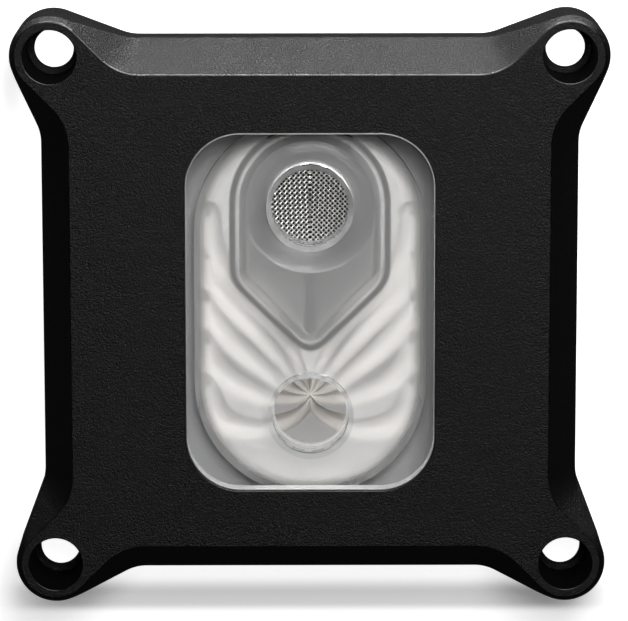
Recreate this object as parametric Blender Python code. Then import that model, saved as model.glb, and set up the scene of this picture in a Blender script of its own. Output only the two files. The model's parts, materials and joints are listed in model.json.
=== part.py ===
"""A processor water block: black frame, clear window block, frosted flow guide and finned cold plate.

Metres, +Z up. The block lies on the contact pad of its cold plate, with the ports on top and the inlet
towards +Y. The origin is the centre of the contact pad's face.
"""

import math

import bmesh
import bpy
from mathutils import Vector

MM = 0.001

# clearances
SEAT_GAP = 0.30 * MM          # between two pieces that rest on each other
FIT_GAP = 0.25 * MM           # round a piece that slides into another
CUT_OVERRUN = 1.0 * MM        # how far a cutter passes the face it opens
SHARPEST = 0.05 * MM          # radius left where an inset corner closes up

# cold plate, from the contact pad upwards
PAD_SIDE = 34.0 * MM
PAD_CORNER = 3.0 * MM
PAD_HEIGHT = 1.0 * MM
PLATE_THICKNESS = 3.0 * MM
PLATE_EDGE_X = 3.35 * MM      # from a side screw's axis to the plate's side
PLATE_EDGE_Y = 3.45 * MM      # from an end screw's axis to the plate's end
PLATE_CORNER = 6.0 * MM
PLATE_EDGE_BREAK = 0.4 * MM
POOL_DEPTH = 2.0 * MM
FIN_DROP = 0.1 * MM           # fin tips lie this far under the plate's top
FIN_WALL = 0.35 * MM
FIN_PITCH = 0.9 * MM
FIN_LENGTH = 29.0 * MM        # along X
FIN_FIELD = 30.0 * MM         # along Y
POOL_MARGIN_X = 2.9 * MM      # open water at each end of the fins
POOL_MARGIN_Y = 0.8 * MM
POOL_CORNER = 2.5 * MM

# frame
FRAME_THICKNESS = 13.3 * MM
FRAME_WALL = 1.7 * MM         # metal beside the cold plate's ends, at the straight sides
END_WALL_EXTRA = 0.28 * MM    # how much further out the front and back walls stand
EAR_REACH = 2.7 * MM          # from a straight side of the top face out to an ear hole's axis
CHAMFER_WIDTH = 4.55 * MM     # on the left and right sides
CHAMFER_SLOPE = 1.57          # fall of the chamfer for each unit outwards
EAR_FACE_RADIUS = 5.3 * MM    # of the top face round an ear hole
EAR_LIP = 0.8 * MM            # chamfer width round an ear
FACE_NECK_RADIUS = 8.5 * MM   # hollow where the top face turns into an ear
WALL_NECK_RADIUS = 8.0 * MM   # the same on the outer wall
FACE_NECK_ANGLE = math.radians(45.0)
WALL_NECK_ANGLE = math.radians(20.5)
COUNTERBORE = 8.4 * MM        # diameter
EAR_HOLE = 6.0 * MM           # diameter
EAR_LEDGE = 1.3 * MM          # metal left under the counterbore
PLATE_LET_IN = 1.5 * MM       # how far the cold plate sits inside the frame

# window block
WINDOW_LENGTH = 55.4 * MM     # opening in the frame, along Y
WINDOW_WIDTH = 38.2 * MM
WINDOW_CORNER = 8.6 * MM
WINDOW_SINK = 0.15 * MM       # the clear face lies this far under the frame's face
FLANGE_REACH_X = 3.5 * MM     # past the window opening, at the sides
FLANGE_REACH_Y = 5.1 * MM     # and at the ends
FLANGE_THICKNESS = 6.2 * MM
FLANGE_CORNER = 10.5 * MM
PORT_BORE = 11.7 * MM         # inside the thread
PORT_LEAD_RUN = 0.75 * MM     # width of the lead-in chamfer, seen from above
PORT_LEAD_IN = 0.8 * MM       # and its depth
CEILING_THICKNESS = 6.4 * MM  # clear material over the flow guide
CHAMBER_SIDE_WALL = 4.9 * MM  # flange left beside the hollow that holds the flow guide
CHAMBER_END_WALL = 3.4 * MM

# divider seal and the shield-shaped plenum inside it
SHIELD_RADIUS = 11.8 * MM     # seal centre line round the inlet's axis
SHIELD_END_ROOM = 1.6 * MM    # from that line to the end of the chamber
SHIELD_SIDE_DROP = 10.6 * MM  # straight run below the inlet's axis
SHIELD_POINT_ANGLE = math.radians(42.0)
SHIELD_SHOULDER = 3.4 * MM    # radius where the sides turn in
SHIELD_TIP = 1.8 * MM         # radius of the point
SEAL_WIDTH = 0.9 * MM
SEAL_HEIGHT = 0.9 * MM
SEAL_ROOM = 0.15 * MM         # groove beyond the seal, each side
PLENUM_WALL = 1.0 * MM        # from the seal's centre line to the plenum
PLENUM_RISE = 1.5 * MM        # height of the hollow in the window block
PORT_BOSS_ROOM = 1.8 * MM     # from the seal's centre line in to the boss round the inlet
PORT_BOSS_DROP = 1.1 * MM     # how far it hangs under the chamber's ceiling

# flow guide
FUNNEL_WALL_DEPTH = 1.4 * MM  # upright part of the funnel's wall
FUNNEL_DEPTH = 3.0 * MM
FUNNEL_SLOPE_RUN = 2.6 * MM   # plan width of its sloping part
SLOT_WIDTH = 1.8 * MM
SLOT_START = 9.0 * MM         # below the inlet's axis
SLOT_LENGTH = 11.6 * MM
WELL_PITCH = 6.2 * MM         # of the return wells down each side
WELL_DIAMETER = 3.4 * MM
WELL_INSET = 2.9 * MM         # from the side of the chamber to the wells' axes
WELL_ROW_PAST = 3.8 * MM      # lowest well, past the straight side of the chamber
WELL_ROW_SHORT = 2.3 * MM     # least distance from the top well to that side's other end
FLUTE_DEPTH = 2.3 * MM
FLUTE_WIDE = 2.3 * MM         # tool radius at the well
FLUTE_NARROW = 0.8 * MM       # and under the outlet
FLUTE_FIRST = math.radians(13.0)
FLUTE_STEP = math.radians(26.0)
FLUTE_WELL_PULL = 0.46        # shape of the flute's sweep, at its well and at the outlet
FLUTE_OUTLET_PULL = 0.25
FLUTE_STEPS = 8
FLUTE_SIDES = 6

# filter
MESH_LAP = 0.65 * MM          # how far the disc reaches past the port's bore
MESH_THICKNESS = 0.4 * MM
MESH_PITCH = 1.3 * MM
MESH_GAP = 0.75 * MM
MESH_RIM = 0.6 * MM
RING_WALL = 0.8 * MM
RING_HEIGHT = 0.6 * MM

# base seal
BASE_SEAL_INSET = 1.95 * MM   # from the flange's edge to the seal's centre line
BASE_SEAL_WIDTH = 1.4 * MM
BASE_SEAL_HEIGHT = 1.2 * MM
BASE_SEAL_ROOM = 0.2 * MM

# screws
SCREW_DIAMETER = 3.0 * MM
SCREW_HEAD = 5.0 * MM
SCREW_HEAD_LAND = 0.3 * MM
SCREW_LENGTH = 7.4 * MM
SCREW_SOCKET = 2.0 * MM       # across flats
SCREW_SOCKET_DEPTH = 1.2 * MM
SCREW_WALL = 0.6 * MM         # frame left between a screw hole and the flange pocket
SCREW_HOLE_GAP = 0.30 * MM
SCREW_HOLE_SPARE = 1.0 * MM   # hole left past the screw's end
SCREW_SIDES = 10
SIDE_SCREW_Y = 11.2 * MM
END_SCREW_X = 9.5 * MM
CORNER_SCREW_PULL = 0.6 * MM  # corner screws stand this far in along Y

# plan sizes that follow, from the window outwards
FLANGE_HALF_X = WINDOW_WIDTH / 2 + FLANGE_REACH_X
FLANGE_HALF_Y = WINDOW_LENGTH / 2 + FLANGE_REACH_Y
SCREW_STAND_OFF = FIT_GAP + SCREW_WALL + SCREW_DIAMETER / 2 + SCREW_HOLE_GAP
SIDE_SCREW_X = FLANGE_HALF_X + SCREW_STAND_OFF
END_SCREW_Y = FLANGE_HALF_Y + SCREW_STAND_OFF
PLATE_HALF_X = SIDE_SCREW_X + PLATE_EDGE_X
PLATE_HALF_Y = END_SCREW_Y + PLATE_EDGE_Y
WALL_HALF = PLATE_HALF_Y + FIT_GAP + FRAME_WALL
FACE_HALF = WALL_HALF - CHAMFER_WIDTH
EAR_AT = FACE_HALF + EAR_REACH

# and from the window inwards
CHAMBER_HALF_X = FLANGE_HALF_X - CHAMBER_SIDE_WALL
CHAMBER_HALF_Y = FLANGE_HALF_Y - CHAMBER_END_WALL
PORT_Y = CHAMBER_HALF_Y - SHIELD_END_ROOM - SHIELD_RADIUS
WELL_X = CHAMBER_HALF_X - WELL_INSET
WELL_LOWEST = CHAMBER_HALF_X - CHAMBER_HALF_Y - WELL_ROW_PAST
WELL_ROW = CHAMBER_HALF_Y - CHAMBER_HALF_X - WELL_ROW_SHORT - WELL_LOWEST
WELL_COUNT = int(WELL_ROW / WELL_PITCH) + 1
MESH_DIAMETER = PORT_BORE + 2 * MESH_LAP
RING_BORE = MESH_DIAMETER - 2 * RING_WALL
PORT_MOUTH = PORT_BORE + 2 * PORT_LEAD_RUN
PORT_BOSS_RADIUS = SHIELD_RADIUS - PORT_BOSS_ROOM

# levels that the stack gives
PLATE_BOTTOM = PAD_HEIGHT
PLATE_TOP = PLATE_BOTTOM + PLATE_THICKNESS
FRAME_BOTTOM = PLATE_TOP - PLATE_LET_IN
FRAME_TOP = FRAME_BOTTOM + FRAME_THICKNESS
BLOCK_BOTTOM = PLATE_TOP + SEAT_GAP
FLANGE_TOP = BLOCK_BOTTOM + FLANGE_THICKNESS
BLOCK_TOP = FRAME_TOP - WINDOW_SINK
CEILING = BLOCK_TOP - CEILING_THICKNESS
GUIDE_BOTTOM = PLATE_TOP + SEAT_GAP
GUIDE_TOP = CEILING - SEAT_GAP


def clear_scene():
    for old in list(bpy.data.objects):
        bpy.data.objects.remove(old, do_unlink=True)


# plan outlines: each returns the points of a closed loop, counter-clockwise


def arc(centre, radius, start, end, steps):
    """Points on an arc, both ends included."""
    cx, cy = centre
    return [
        (
            cx + radius * math.cos(start + (end - start) * i / steps),
            cy + radius * math.sin(start + (end - start) * i / steps),
        )
        for i in range(steps + 1)
    ]


def circle(centre, radius, steps):
    return arc(centre, radius, 0.0, math.tau * (steps - 1) / steps, steps - 1)


def rounded_box(half_x, half_y, radius, steps=6, centre=(0.0, 0.0)):
    points = []
    for quarter, (sx, sy) in enumerate(((1, 1), (-1, 1), (-1, -1), (1, -1))):
        middle = (centre[0] + sx * (half_x - radius), centre[1] + sy * (half_y - radius))
        turn = quarter * math.pi / 2
        points += arc(middle, radius, turn, turn + math.pi / 2, steps)
    return points


def rounded_ends(half_x, half_y, steps=16):
    """Straight sides closed by an arc at each end, as wide as the sides are apart."""
    points = arc((0.0, half_y - half_x), half_x, 0.0, math.pi, steps)
    points += arc((0.0, half_x - half_y), half_x, math.pi, math.tau, steps)
    return points


def corner_arc(centre, radius, start, end, inset, steps):
    """A rounded corner moved inwards by inset; past its own radius it closes up to a sharp corner."""
    left = radius - inset
    if left >= SHARPEST:
        return arc(centre, left, start, end, steps)
    short = SHARPEST - left
    lean = 1.0 + math.cos(end - start)
    moved = (
        centre[0] - short * (math.cos(start) + math.cos(end)) / lean,
        centre[1] - short * (math.sin(start) + math.sin(end)) / lean,
    )
    return arc(moved, SHARPEST, start, end, steps)


def shield(inset=0.0):
    """The plenum's outline: an arc over the inlet, straight sides, rounded shoulders and point."""
    shoulder_x = SHIELD_RADIUS - SHIELD_SHOULDER
    shoulder_y = PORT_Y - SHIELD_SIDE_DROP
    lean = math.pi / 2 - SHIELD_POINT_ANGLE
    tip_drop = (shoulder_x * math.cos(lean) + SHIELD_SHOULDER - SHIELD_TIP) / math.sin(lean)
    points = arc((0.0, PORT_Y), SHIELD_RADIUS - inset, 0.0, math.pi, 16)
    points += corner_arc((-shoulder_x, shoulder_y), SHIELD_SHOULDER, math.pi, math.pi + lean, inset, 4)
    points += corner_arc(
        (0.0, shoulder_y - tip_drop), SHIELD_TIP, math.pi + lean, math.tau - lean, inset, 6
    )
    points += corner_arc((shoulder_x, shoulder_y), SHIELD_SHOULDER, math.tau - lean, math.tau, inset, 4)
    return points


# mesh helpers


def new_object(name, mesh_data):
    made = bpy.data.objects.new(name, mesh_data)
    bpy.context.scene.collection.objects.link(made)
    return made


def from_bmesh(name, shape):
    bmesh.ops.remove_doubles(shape, verts=shape.verts, dist=1e-7)
    bmesh.ops.recalc_face_normals(shape, faces=shape.faces)
    data = bpy.data.meshes.new(name)
    shape.to_mesh(data)
    shape.free()
    return new_object(name, data)


def loft(name, rings):
    """A closed body through rings of points, each ring with as many points as the last."""
    shape = bmesh.new()
    loops = [[shape.verts.new(point) for point in ring] for ring in rings]
    for low, high in zip(loops, loops[1:]):
        for i, vert in enumerate(low):
            following = (i + 1) % len(low)
            shape.faces.new((vert, low[following], high[following], high[i]))
    shape.faces.new(list(reversed(loops[0])))
    shape.faces.new(loops[-1])
    return from_bmesh(name, shape)


def at_height(outline, z):
    return [(x, y, z) for x, y in outline]


def prism(name, outline, bottom, top):
    return loft(name, [at_height(outline, bottom), at_height(outline, top)])


def stacked_circles(name, centre, profile, steps=32):
    """A turned body on a vertical axis, from a list of (radius, z) going up."""
    return loft(name, [at_height(circle(centre, radius, steps), z) for radius, z in profile])


def band(name, inner, outer, bottom, top):
    """A closed ring of rectangular section between two outlines with equal counts of points."""
    shape = bmesh.new()
    count = len(inner)
    corners = [(inner, bottom), (outer, bottom), (outer, top), (inner, top)]
    loops = [[shape.verts.new((x, y, z)) for x, y in outline] for outline, z in corners]
    for a, b in zip(loops, loops[1:] + loops[:1]):
        for i in range(count):
            following = (i + 1) % count
            shape.faces.new((a[i], a[following], b[following], b[i]))
    return from_bmesh(name, shape)


def combine(body, other, operation):
    """Cuts the other body out of this one, or joins it on, and bakes the result."""
    other.hide_render = True
    other.display_type = "WIRE"
    step = body.modifiers.new(operation.lower(), "BOOLEAN")
    step.operation = operation
    step.solver = "EXACT"
    step.object = other
    graph = bpy.context.evaluated_depsgraph_get()
    baked = bpy.data.meshes.new_from_object(body.evaluated_get(graph))
    body.modifiers.clear()
    body.data = baked
    bpy.data.objects.remove(other, do_unlink=True)


def cut(body, cutters):
    for cutter in cutters:
        combine(body, cutter, "DIFFERENCE")


def join(body, extra):
    combine(body, extra, "UNION")


def add_material(body, name, colour, roughness, metallic):
    finish = bpy.data.materials.new(name)
    finish.use_nodes = True
    shader = finish.node_tree.nodes["Principled BSDF"]
    shader.inputs["Base Color"].default_value = (*colour, 1.0)
    shader.inputs["Roughness"].default_value = roughness
    shader.inputs["Metallic"].default_value = metallic
    body.data.materials.clear()
    body.data.materials.append(finish)


def smooth(body, angle=math.radians(30.0)):
    body.data.shade_smooth()
    body.data.set_sharp_from_angle(angle=angle)


# frame


def neck(half_side, ear_radius, neck_radius, neck_angle):
    """Where a neck's hollow arc, slant and ear arc begin, along X beside the +Y side."""
    ear_x = EAR_AT - ear_radius * math.sin(neck_angle)
    ear_y = EAR_AT + ear_radius * math.cos(neck_angle)
    slant_rise = ear_y - half_side - neck_radius * (1 - math.cos(neck_angle))
    slant_x = ear_x - slant_rise / math.tan(neck_angle)
    hollow_x = slant_x - neck_radius * math.sin(neck_angle)
    return hollow_x, slant_x, ear_x, ear_y


def face_outline():
    """The top face: a square with an ear at each corner, from the middle of the +X side."""
    hollow_x, _, ear_x, ear_y = neck(FACE_HALF, EAR_FACE_RADIUS, FACE_NECK_RADIUS, FACE_NECK_ANGLE)
    low = -math.pi / 2
    centre = (hollow_x, FACE_HALF + FACE_NECK_RADIUS)
    rise = [(0.0, FACE_HALF)] + arc(centre, FACE_NECK_RADIUS, low, low + FACE_NECK_ANGLE, 5)
    rise.append(((rise[-1][0] + ear_x) / 2, (rise[-1][1] + ear_y) / 2))
    rise += arc((EAR_AT, EAR_AT), EAR_FACE_RADIUS, math.pi / 2 + FACE_NECK_ANGLE, math.pi / 4, 8)
    quarter = [(y, x) for x, y in rise[:-1]] + rise[:0:-1]
    outline = []
    for _ in range(4):
        outline += quarter
        quarter = [(-y, x) for x, y in quarter]
    return outline


def wall_reach_at(along, half_side):
    """How far out a side's wall stands, at a distance along it from its middle."""
    ear = EAR_FACE_RADIUS + EAR_LIP
    hollow, slant, ear_start, ear_reach = neck(half_side, ear, WALL_NECK_RADIUS, WALL_NECK_ANGLE)
    if along <= hollow:
        return half_side
    if along <= slant:
        return half_side + WALL_NECK_RADIUS - math.sqrt(WALL_NECK_RADIUS**2 - (along - hollow) ** 2)
    if along <= ear_start:
        return ear_reach + (along - ear_start) * math.tan(WALL_NECK_ANGLE)
    return EAR_AT + math.sqrt(max(ear**2 - (along - EAR_AT) ** 2, 0.0))


def inside_wall(x, y):
    if abs(y) > abs(x):
        return abs(y) < wall_reach_at(abs(x), WALL_HALF + END_WALL_EXTRA)
    return abs(x) < wall_reach_at(abs(y), WALL_HALF)


def distance_to_wall(point, normal):
    """The distance from a point inside the wall to the wall, along its normal."""
    near, far = 0.0, 3 * CHAMFER_WIDTH
    for _ in range(40):
        middle = (near + far) / 2
        if inside_wall(point[0] + normal[0] * middle, point[1] + normal[1] * middle):
            near = middle
        else:
            far = middle
    return near


def outline_normals(outline):
    normals = []
    for i, (x, y) in enumerate(outline):
        before = outline[i - 1]
        after = outline[(i + 1) % len(outline)]
        one = Vector((x - before[0], y - before[1])).normalized()
        two = Vector((after[0] - x, after[1] - y)).normalized()
        along = (one + two).normalized()
        normals.append((along.y, -along.x))
    return normals


def frame_body():
    """The frame's outer form: top face, constant-slope chamfer and straight wall."""
    face = face_outline()
    low_edge = []
    wall_foot = []
    for (x, y), normal in zip(face, outline_normals(face)):
        width = distance_to_wall((x, y), normal)
        wall = (x + normal[0] * width, y + normal[1] * width)
        low_edge.append((*wall, FRAME_TOP - width * CHAMFER_SLOPE))
        wall_foot.append((*wall, FRAME_BOTTOM))
    return loft("top_frame", [wall_foot, low_edge, at_height(face, FRAME_TOP)])


def ear_centres():
    return [(sx * EAR_AT, sy * EAR_AT) for sx in (-1, 1) for sy in (-1, 1)]


def screw_places():
    """Plan positions of the twelve plate screws, which stand clear of the flange pocket."""
    places = []
    for sx in (-1, 1):
        for sy in (-1, 1):
            places.append((sx * SIDE_SCREW_X, sy * SIDE_SCREW_Y))
            places.append((sx * SIDE_SCREW_X, sy * (END_SCREW_Y - CORNER_SCREW_PULL)))
            places.append((sx * END_SCREW_X, sy * END_SCREW_Y))
    return places


def build_frame():
    frame = frame_body()
    cutters = []
    for centre in ear_centres():
        profile = [
            (EAR_HOLE / 2, FRAME_BOTTOM - CUT_OVERRUN),
            (EAR_HOLE / 2, FRAME_BOTTOM + EAR_LEDGE),
            (COUNTERBORE / 2, FRAME_BOTTOM + EAR_LEDGE),
            (COUNTERBORE / 2, FRAME_TOP + CUT_OVERRUN),
        ]
        cutters.append(stacked_circles("ear_cutter", centre, profile, 24))
    opening = rounded_box(WINDOW_WIDTH / 2, WINDOW_LENGTH / 2, WINDOW_CORNER)
    cutters.append(prism("window_cutter", opening, FRAME_BOTTOM - CUT_OVERRUN, FRAME_TOP + CUT_OVERRUN))
    pocket = rounded_box(FLANGE_HALF_X + FIT_GAP, FLANGE_HALF_Y + FIT_GAP, FLANGE_CORNER + FIT_GAP)
    cutters.append(prism("pocket_cutter", pocket, FRAME_BOTTOM - CUT_OVERRUN, FLANGE_TOP + SEAT_GAP))
    recess = rounded_box(PLATE_HALF_X + FIT_GAP, PLATE_HALF_Y + FIT_GAP, PLATE_CORNER + FIT_GAP)
    cutters.append(prism("recess_cutter", recess, FRAME_BOTTOM - CUT_OVERRUN, PLATE_TOP + SEAT_GAP))
    hole_top = PLATE_BOTTOM + SCREW_LENGTH + SCREW_HOLE_SPARE
    for place in screw_places():
        hole = circle(place, SCREW_DIAMETER / 2 + SCREW_HOLE_GAP, SCREW_SIDES)
        cutters.append(prism("hole_cutter", hole, PLATE_TOP, hole_top))
    cut(frame, cutters)
    smooth(frame)
    add_material(frame, "black_anodised", (0.012, 0.012, 0.013), 0.55, 0.6)
    return frame


# window block


def build_window_block():
    boss_x = WINDOW_WIDTH / 2 - FIT_GAP
    boss_y = WINDOW_LENGTH / 2 - FIT_GAP
    boss = rounded_box(boss_x, boss_y, WINDOW_CORNER - FIT_GAP)
    flange = rounded_box(FLANGE_HALF_X, FLANGE_HALF_Y, FLANGE_CORNER)
    rings = [
        at_height(flange, BLOCK_BOTTOM),
        at_height(flange, FLANGE_TOP),
        at_height(boss, FLANGE_TOP),
        at_height(boss, BLOCK_TOP),
    ]
    block = loft("window_block", rings)
    chamber = rounded_ends(CHAMBER_HALF_X, CHAMBER_HALF_Y)
    chamber_body = prism("chamber_cutter", chamber, BLOCK_BOTTOM - CUT_OVERRUN, CEILING)
    plenum_body = prism(
        "plenum_cutter", shield(PLENUM_WALL), CEILING - PORT_BOSS_DROP / 2, CEILING + PLENUM_RISE
    )
    boss_foot = circle((0.0, PORT_Y), PORT_BOSS_RADIUS, 32)
    for hollow in (chamber_body, plenum_body):
        cut(hollow, [prism("port_boss", boss_foot, port_boss_bottom(), BLOCK_TOP)])
    cutters = [chamber_body, plenum_body]
    for sy in (-1, 1):
        profile = [
            (PORT_BORE / 2, port_boss_bottom() - CUT_OVERRUN),
            (PORT_BORE / 2, BLOCK_TOP - PORT_LEAD_IN),
            (PORT_MOUTH / 2, BLOCK_TOP),
            (PORT_MOUTH / 2, BLOCK_TOP + CUT_OVERRUN),
        ]
        cutters.append(stacked_circles("port_cutter", (0.0, sy * PORT_Y), profile))
    mesh_seat = circle((0.0, PORT_Y), MESH_DIAMETER / 2 + FIT_GAP, 32)
    seat_bottom = port_boss_bottom() - CUT_OVERRUN
    cutters.append(prism("mesh_seat_cutter", mesh_seat, seat_bottom, mesh_top() + SEAT_GAP))
    seal_x = FLANGE_HALF_X - BASE_SEAL_INSET
    seal_y = FLANGE_HALF_Y - BASE_SEAL_INSET
    groove = BASE_SEAL_WIDTH / 2 + BASE_SEAL_ROOM
    cutters.append(
        band(
            "groove_cutter",
            rounded_box(seal_x - groove, seal_y - groove, FLANGE_CORNER - BASE_SEAL_INSET - groove),
            rounded_box(seal_x + groove, seal_y + groove, FLANGE_CORNER - BASE_SEAL_INSET + groove),
            BLOCK_BOTTOM - CUT_OVERRUN,
            BLOCK_BOTTOM + BASE_SEAL_HEIGHT + SEAT_GAP,
        )
    )
    cut(block, cutters)
    smooth(block)
    add_material(block, "clear_acrylic", (0.86, 0.87, 0.88), 0.05, 0.0)
    return block


# flow guide


def guide_outline():
    return rounded_ends(CHAMBER_HALF_X - FIT_GAP, CHAMBER_HALF_Y - FIT_GAP)


def well_y(index):
    return WELL_LOWEST + (WELL_COUNT - 1 - index) * WELL_PITCH


def flute_path(index, side):
    """A flute's centre line in plan, as points with how far along it they are, from well to outlet."""
    well = Vector((side * WELL_X, well_y(index)))
    angle = FLUTE_FIRST + index * FLUTE_STEP
    outwards = Vector((side * math.sin(angle), math.cos(angle)))
    end = Vector((0.0, -PORT_Y)) + outwards * FLUTE_NARROW
    reach = (well - end).length
    first = well - Vector((0.0, reach * FLUTE_WELL_PULL))
    second = end + outwards * reach * FLUTE_OUTLET_PULL
    points = []
    for i in range(FLUTE_STEPS + 1):
        t = i / FLUTE_STEPS
        u = 1.0 - t
        at = u**3 * well + 3 * u * u * t * first + 3 * u * t * t * second + t**3 * end
        points.append((at, t))
    return points


def flute_cutter(index, side):
    """A ball-nosed tool's sweep along the flute, narrower towards the outlet."""
    rings = []
    path = flute_path(index, side)
    for i, (at, t) in enumerate(path):
        before = path[max(i - 1, 0)][0]
        after = path[min(i + 1, len(path) - 1)][0]
        along = (after - before).normalized()
        across = Vector((along.y, -along.x))
        radius = FLUTE_WIDE + (FLUTE_NARROW - FLUTE_WIDE) * t
        middle = GUIDE_TOP - FLUTE_DEPTH + radius
        nose = arc((0.0, middle), radius, math.pi, math.tau, FLUTE_SIDES)
        top = max(middle, GUIDE_TOP) + CUT_OVERRUN
        section = [(-radius, top)] + nose + [(radius, top)]
        rings.append([(at.x + across.x * out, at.y + across.y * out, z) for out, z in section])
    return loft("flute_cutter", rings)


def funnel_cutter():
    """The hollow under the filter: upright walls inside the seal, then slopes down to the slot."""
    outer = shield(PLENUM_WALL)
    inner = shield(PLENUM_WALL + FUNNEL_SLOPE_RUN)
    rings = [
        at_height(inner, GUIDE_TOP - FUNNEL_DEPTH),
        at_height(outer, GUIDE_TOP - FUNNEL_WALL_DEPTH),
        at_height(outer, GUIDE_TOP + CUT_OVERRUN),
    ]
    return loft("funnel_cutter", rings)


def build_flow_guide():
    guide = prism("flow_guide", guide_outline(), GUIDE_BOTTOM, GUIDE_TOP)
    cutters = []
    for side in (-1, 1):
        for index in range(WELL_COUNT):
            cutters.append(flute_cutter(index, side))
            well = circle((side * WELL_X, well_y(index)), WELL_DIAMETER / 2, 12)
            cutters.append(prism("well_cutter", well, GUIDE_BOTTOM - CUT_OVERRUN, GUIDE_TOP))
    cutters.append(funnel_cutter())
    slot_middle = PORT_Y - SLOT_START - SLOT_LENGTH / 2
    slot_end = SLOT_WIDTH / 2 - SHARPEST
    slot = rounded_box(SLOT_WIDTH / 2, SLOT_LENGTH / 2, slot_end, 3, (0.0, slot_middle))
    cutters.append(prism("slot_cutter", slot, GUIDE_BOTTOM - CUT_OVERRUN, GUIDE_TOP + CUT_OVERRUN))
    groove = SEAL_WIDTH / 2 + SEAL_ROOM
    floor = seal_bottom() - SEAT_GAP / 2
    cutters.append(
        band("seal_groove_cutter", shield(groove), shield(-groove), floor, GUIDE_TOP + CUT_OVERRUN)
    )
    cut(guide, cutters)
    smooth(guide, math.radians(40.0))
    add_material(guide, "frosted_acrylic", (0.74, 0.74, 0.73), 0.45, 0.0)
    return guide


# seals and filter


def seal_bottom():
    return CEILING - SEAT_GAP / 2 - SEAL_HEIGHT


def build_divider_seal():
    half = SEAL_WIDTH / 2
    seal = band("divider_seal", shield(half), shield(-half), seal_bottom(), seal_bottom() + SEAL_HEIGHT)
    smooth(seal)
    add_material(seal, "grey_silicone", (0.16, 0.16, 0.17), 0.6, 0.0)
    return seal


def build_base_seal():
    """A soft ring with rounded section, in the groove under the flange."""
    centre_x = FLANGE_HALF_X - BASE_SEAL_INSET
    centre_y = FLANGE_HALF_Y - BASE_SEAL_INSET
    corner = FLANGE_CORNER - BASE_SEAL_INSET
    shape = bmesh.new()
    loops = []
    for k in range(8):
        turn = math.tau * (k + 0.5) / 8
        out = BASE_SEAL_WIDTH / 2 * math.cos(turn)
        z = BLOCK_BOTTOM + BASE_SEAL_HEIGHT / 2 * (1 + math.sin(turn))
        outline = rounded_box(centre_x + out, centre_y + out, corner + out, 5)
        loops.append([shape.verts.new((x, y, z)) for x, y in outline])
    for a, b in zip(loops, loops[1:] + loops[:1]):
        for i in range(len(a)):
            following = (i + 1) % len(a)
            shape.faces.new((a[i], a[following], b[following], b[i]))
    seal = from_bmesh("base_seal", shape)
    smooth(seal)
    add_material(seal, "black_rubber", (0.02, 0.02, 0.02), 0.7, 0.0)
    return seal


def port_boss_bottom():
    return CEILING - PORT_BOSS_DROP


def mesh_top():
    return port_boss_bottom() + RING_HEIGHT + SEAT_GAP + MESH_THICKNESS


def build_filter_ring():
    inner = circle((0.0, PORT_Y), RING_BORE / 2, 32)
    outer = circle((0.0, PORT_Y), MESH_DIAMETER / 2, 32)
    bottom = port_boss_bottom()
    ring = band("filter_ring", inner, outer, bottom, bottom + RING_HEIGHT)
    smooth(ring)
    add_material(ring, "steel_ring", (0.62, 0.62, 0.60), 0.3, 1.0)
    return ring


def build_filter_mesh():
    """The woven disc as one wall: a plain rim round a field of square gaps."""
    disc = circle((0.0, PORT_Y), MESH_DIAMETER / 2, 36)
    bottom = mesh_top() - MESH_THICKNESS
    body = prism("filter_mesh", disc, bottom, mesh_top())
    field = MESH_DIAMETER / 2 - MESH_RIM
    reach = int(field / MESH_PITCH)
    gaps = bmesh.new()
    half = MESH_GAP / 2
    for i in range(-reach, reach + 1):
        for j in range(-reach, reach + 1):
            x, y = i * MESH_PITCH, j * MESH_PITCH
            if math.hypot(abs(x) + half, abs(y) + half) > field:
                continue
            made = bmesh.ops.create_cube(gaps, size=1.0)["verts"]
            for vert in made:
                vert.co.x = x + vert.co.x * MESH_GAP
                vert.co.y = PORT_Y + y + vert.co.y * MESH_GAP
                vert.co.z = mesh_top() - MESH_THICKNESS / 2 + vert.co.z * 3 * MESH_THICKNESS
    data = bpy.data.meshes.new("mesh_gaps")
    gaps.to_mesh(data)
    gaps.free()
    cut(body, [new_object("mesh_gaps", data)])
    add_material(body, "steel_mesh", (0.70, 0.70, 0.69), 0.3, 1.0)
    return body


# cold plate


def build_cold_plate():
    outline = rounded_box(PLATE_HALF_X, PLATE_HALF_Y, PLATE_CORNER, 5)
    inset = rounded_box(
        PLATE_HALF_X - PLATE_EDGE_BREAK,
        PLATE_HALF_Y - PLATE_EDGE_BREAK,
        PLATE_CORNER - PLATE_EDGE_BREAK,
        5,
    )
    plate = loft(
        "cold_plate",
        [
            at_height(inset, PLATE_BOTTOM),
            at_height(outline, PLATE_BOTTOM + PLATE_EDGE_BREAK),
            at_height(outline, PLATE_TOP),
        ],
    )
    pad = rounded_box(PAD_SIDE / 2, PAD_SIDE / 2, PAD_CORNER, 4)
    join(plate, prism("pad", pad, 0.0, PLATE_BOTTOM + PLATE_THICKNESS / 4))
    pool = rounded_box(FIN_LENGTH / 2 + POOL_MARGIN_X, FIN_FIELD / 2 + POOL_MARGIN_Y, POOL_CORNER, 4)
    pool_floor = PLATE_TOP - POOL_DEPTH
    cutters = [prism("pool_cutter", pool, pool_floor, PLATE_TOP + CUT_OVERRUN)]
    cutters += [screw_hole_cutter(place) for place in screw_places()]
    cut(plate, cutters)
    join(plate, fin_bank(pool_floor))
    smooth(plate)
    add_material(plate, "nickel_plate", (0.66, 0.64, 0.60), 0.28, 1.0)
    return plate


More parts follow.
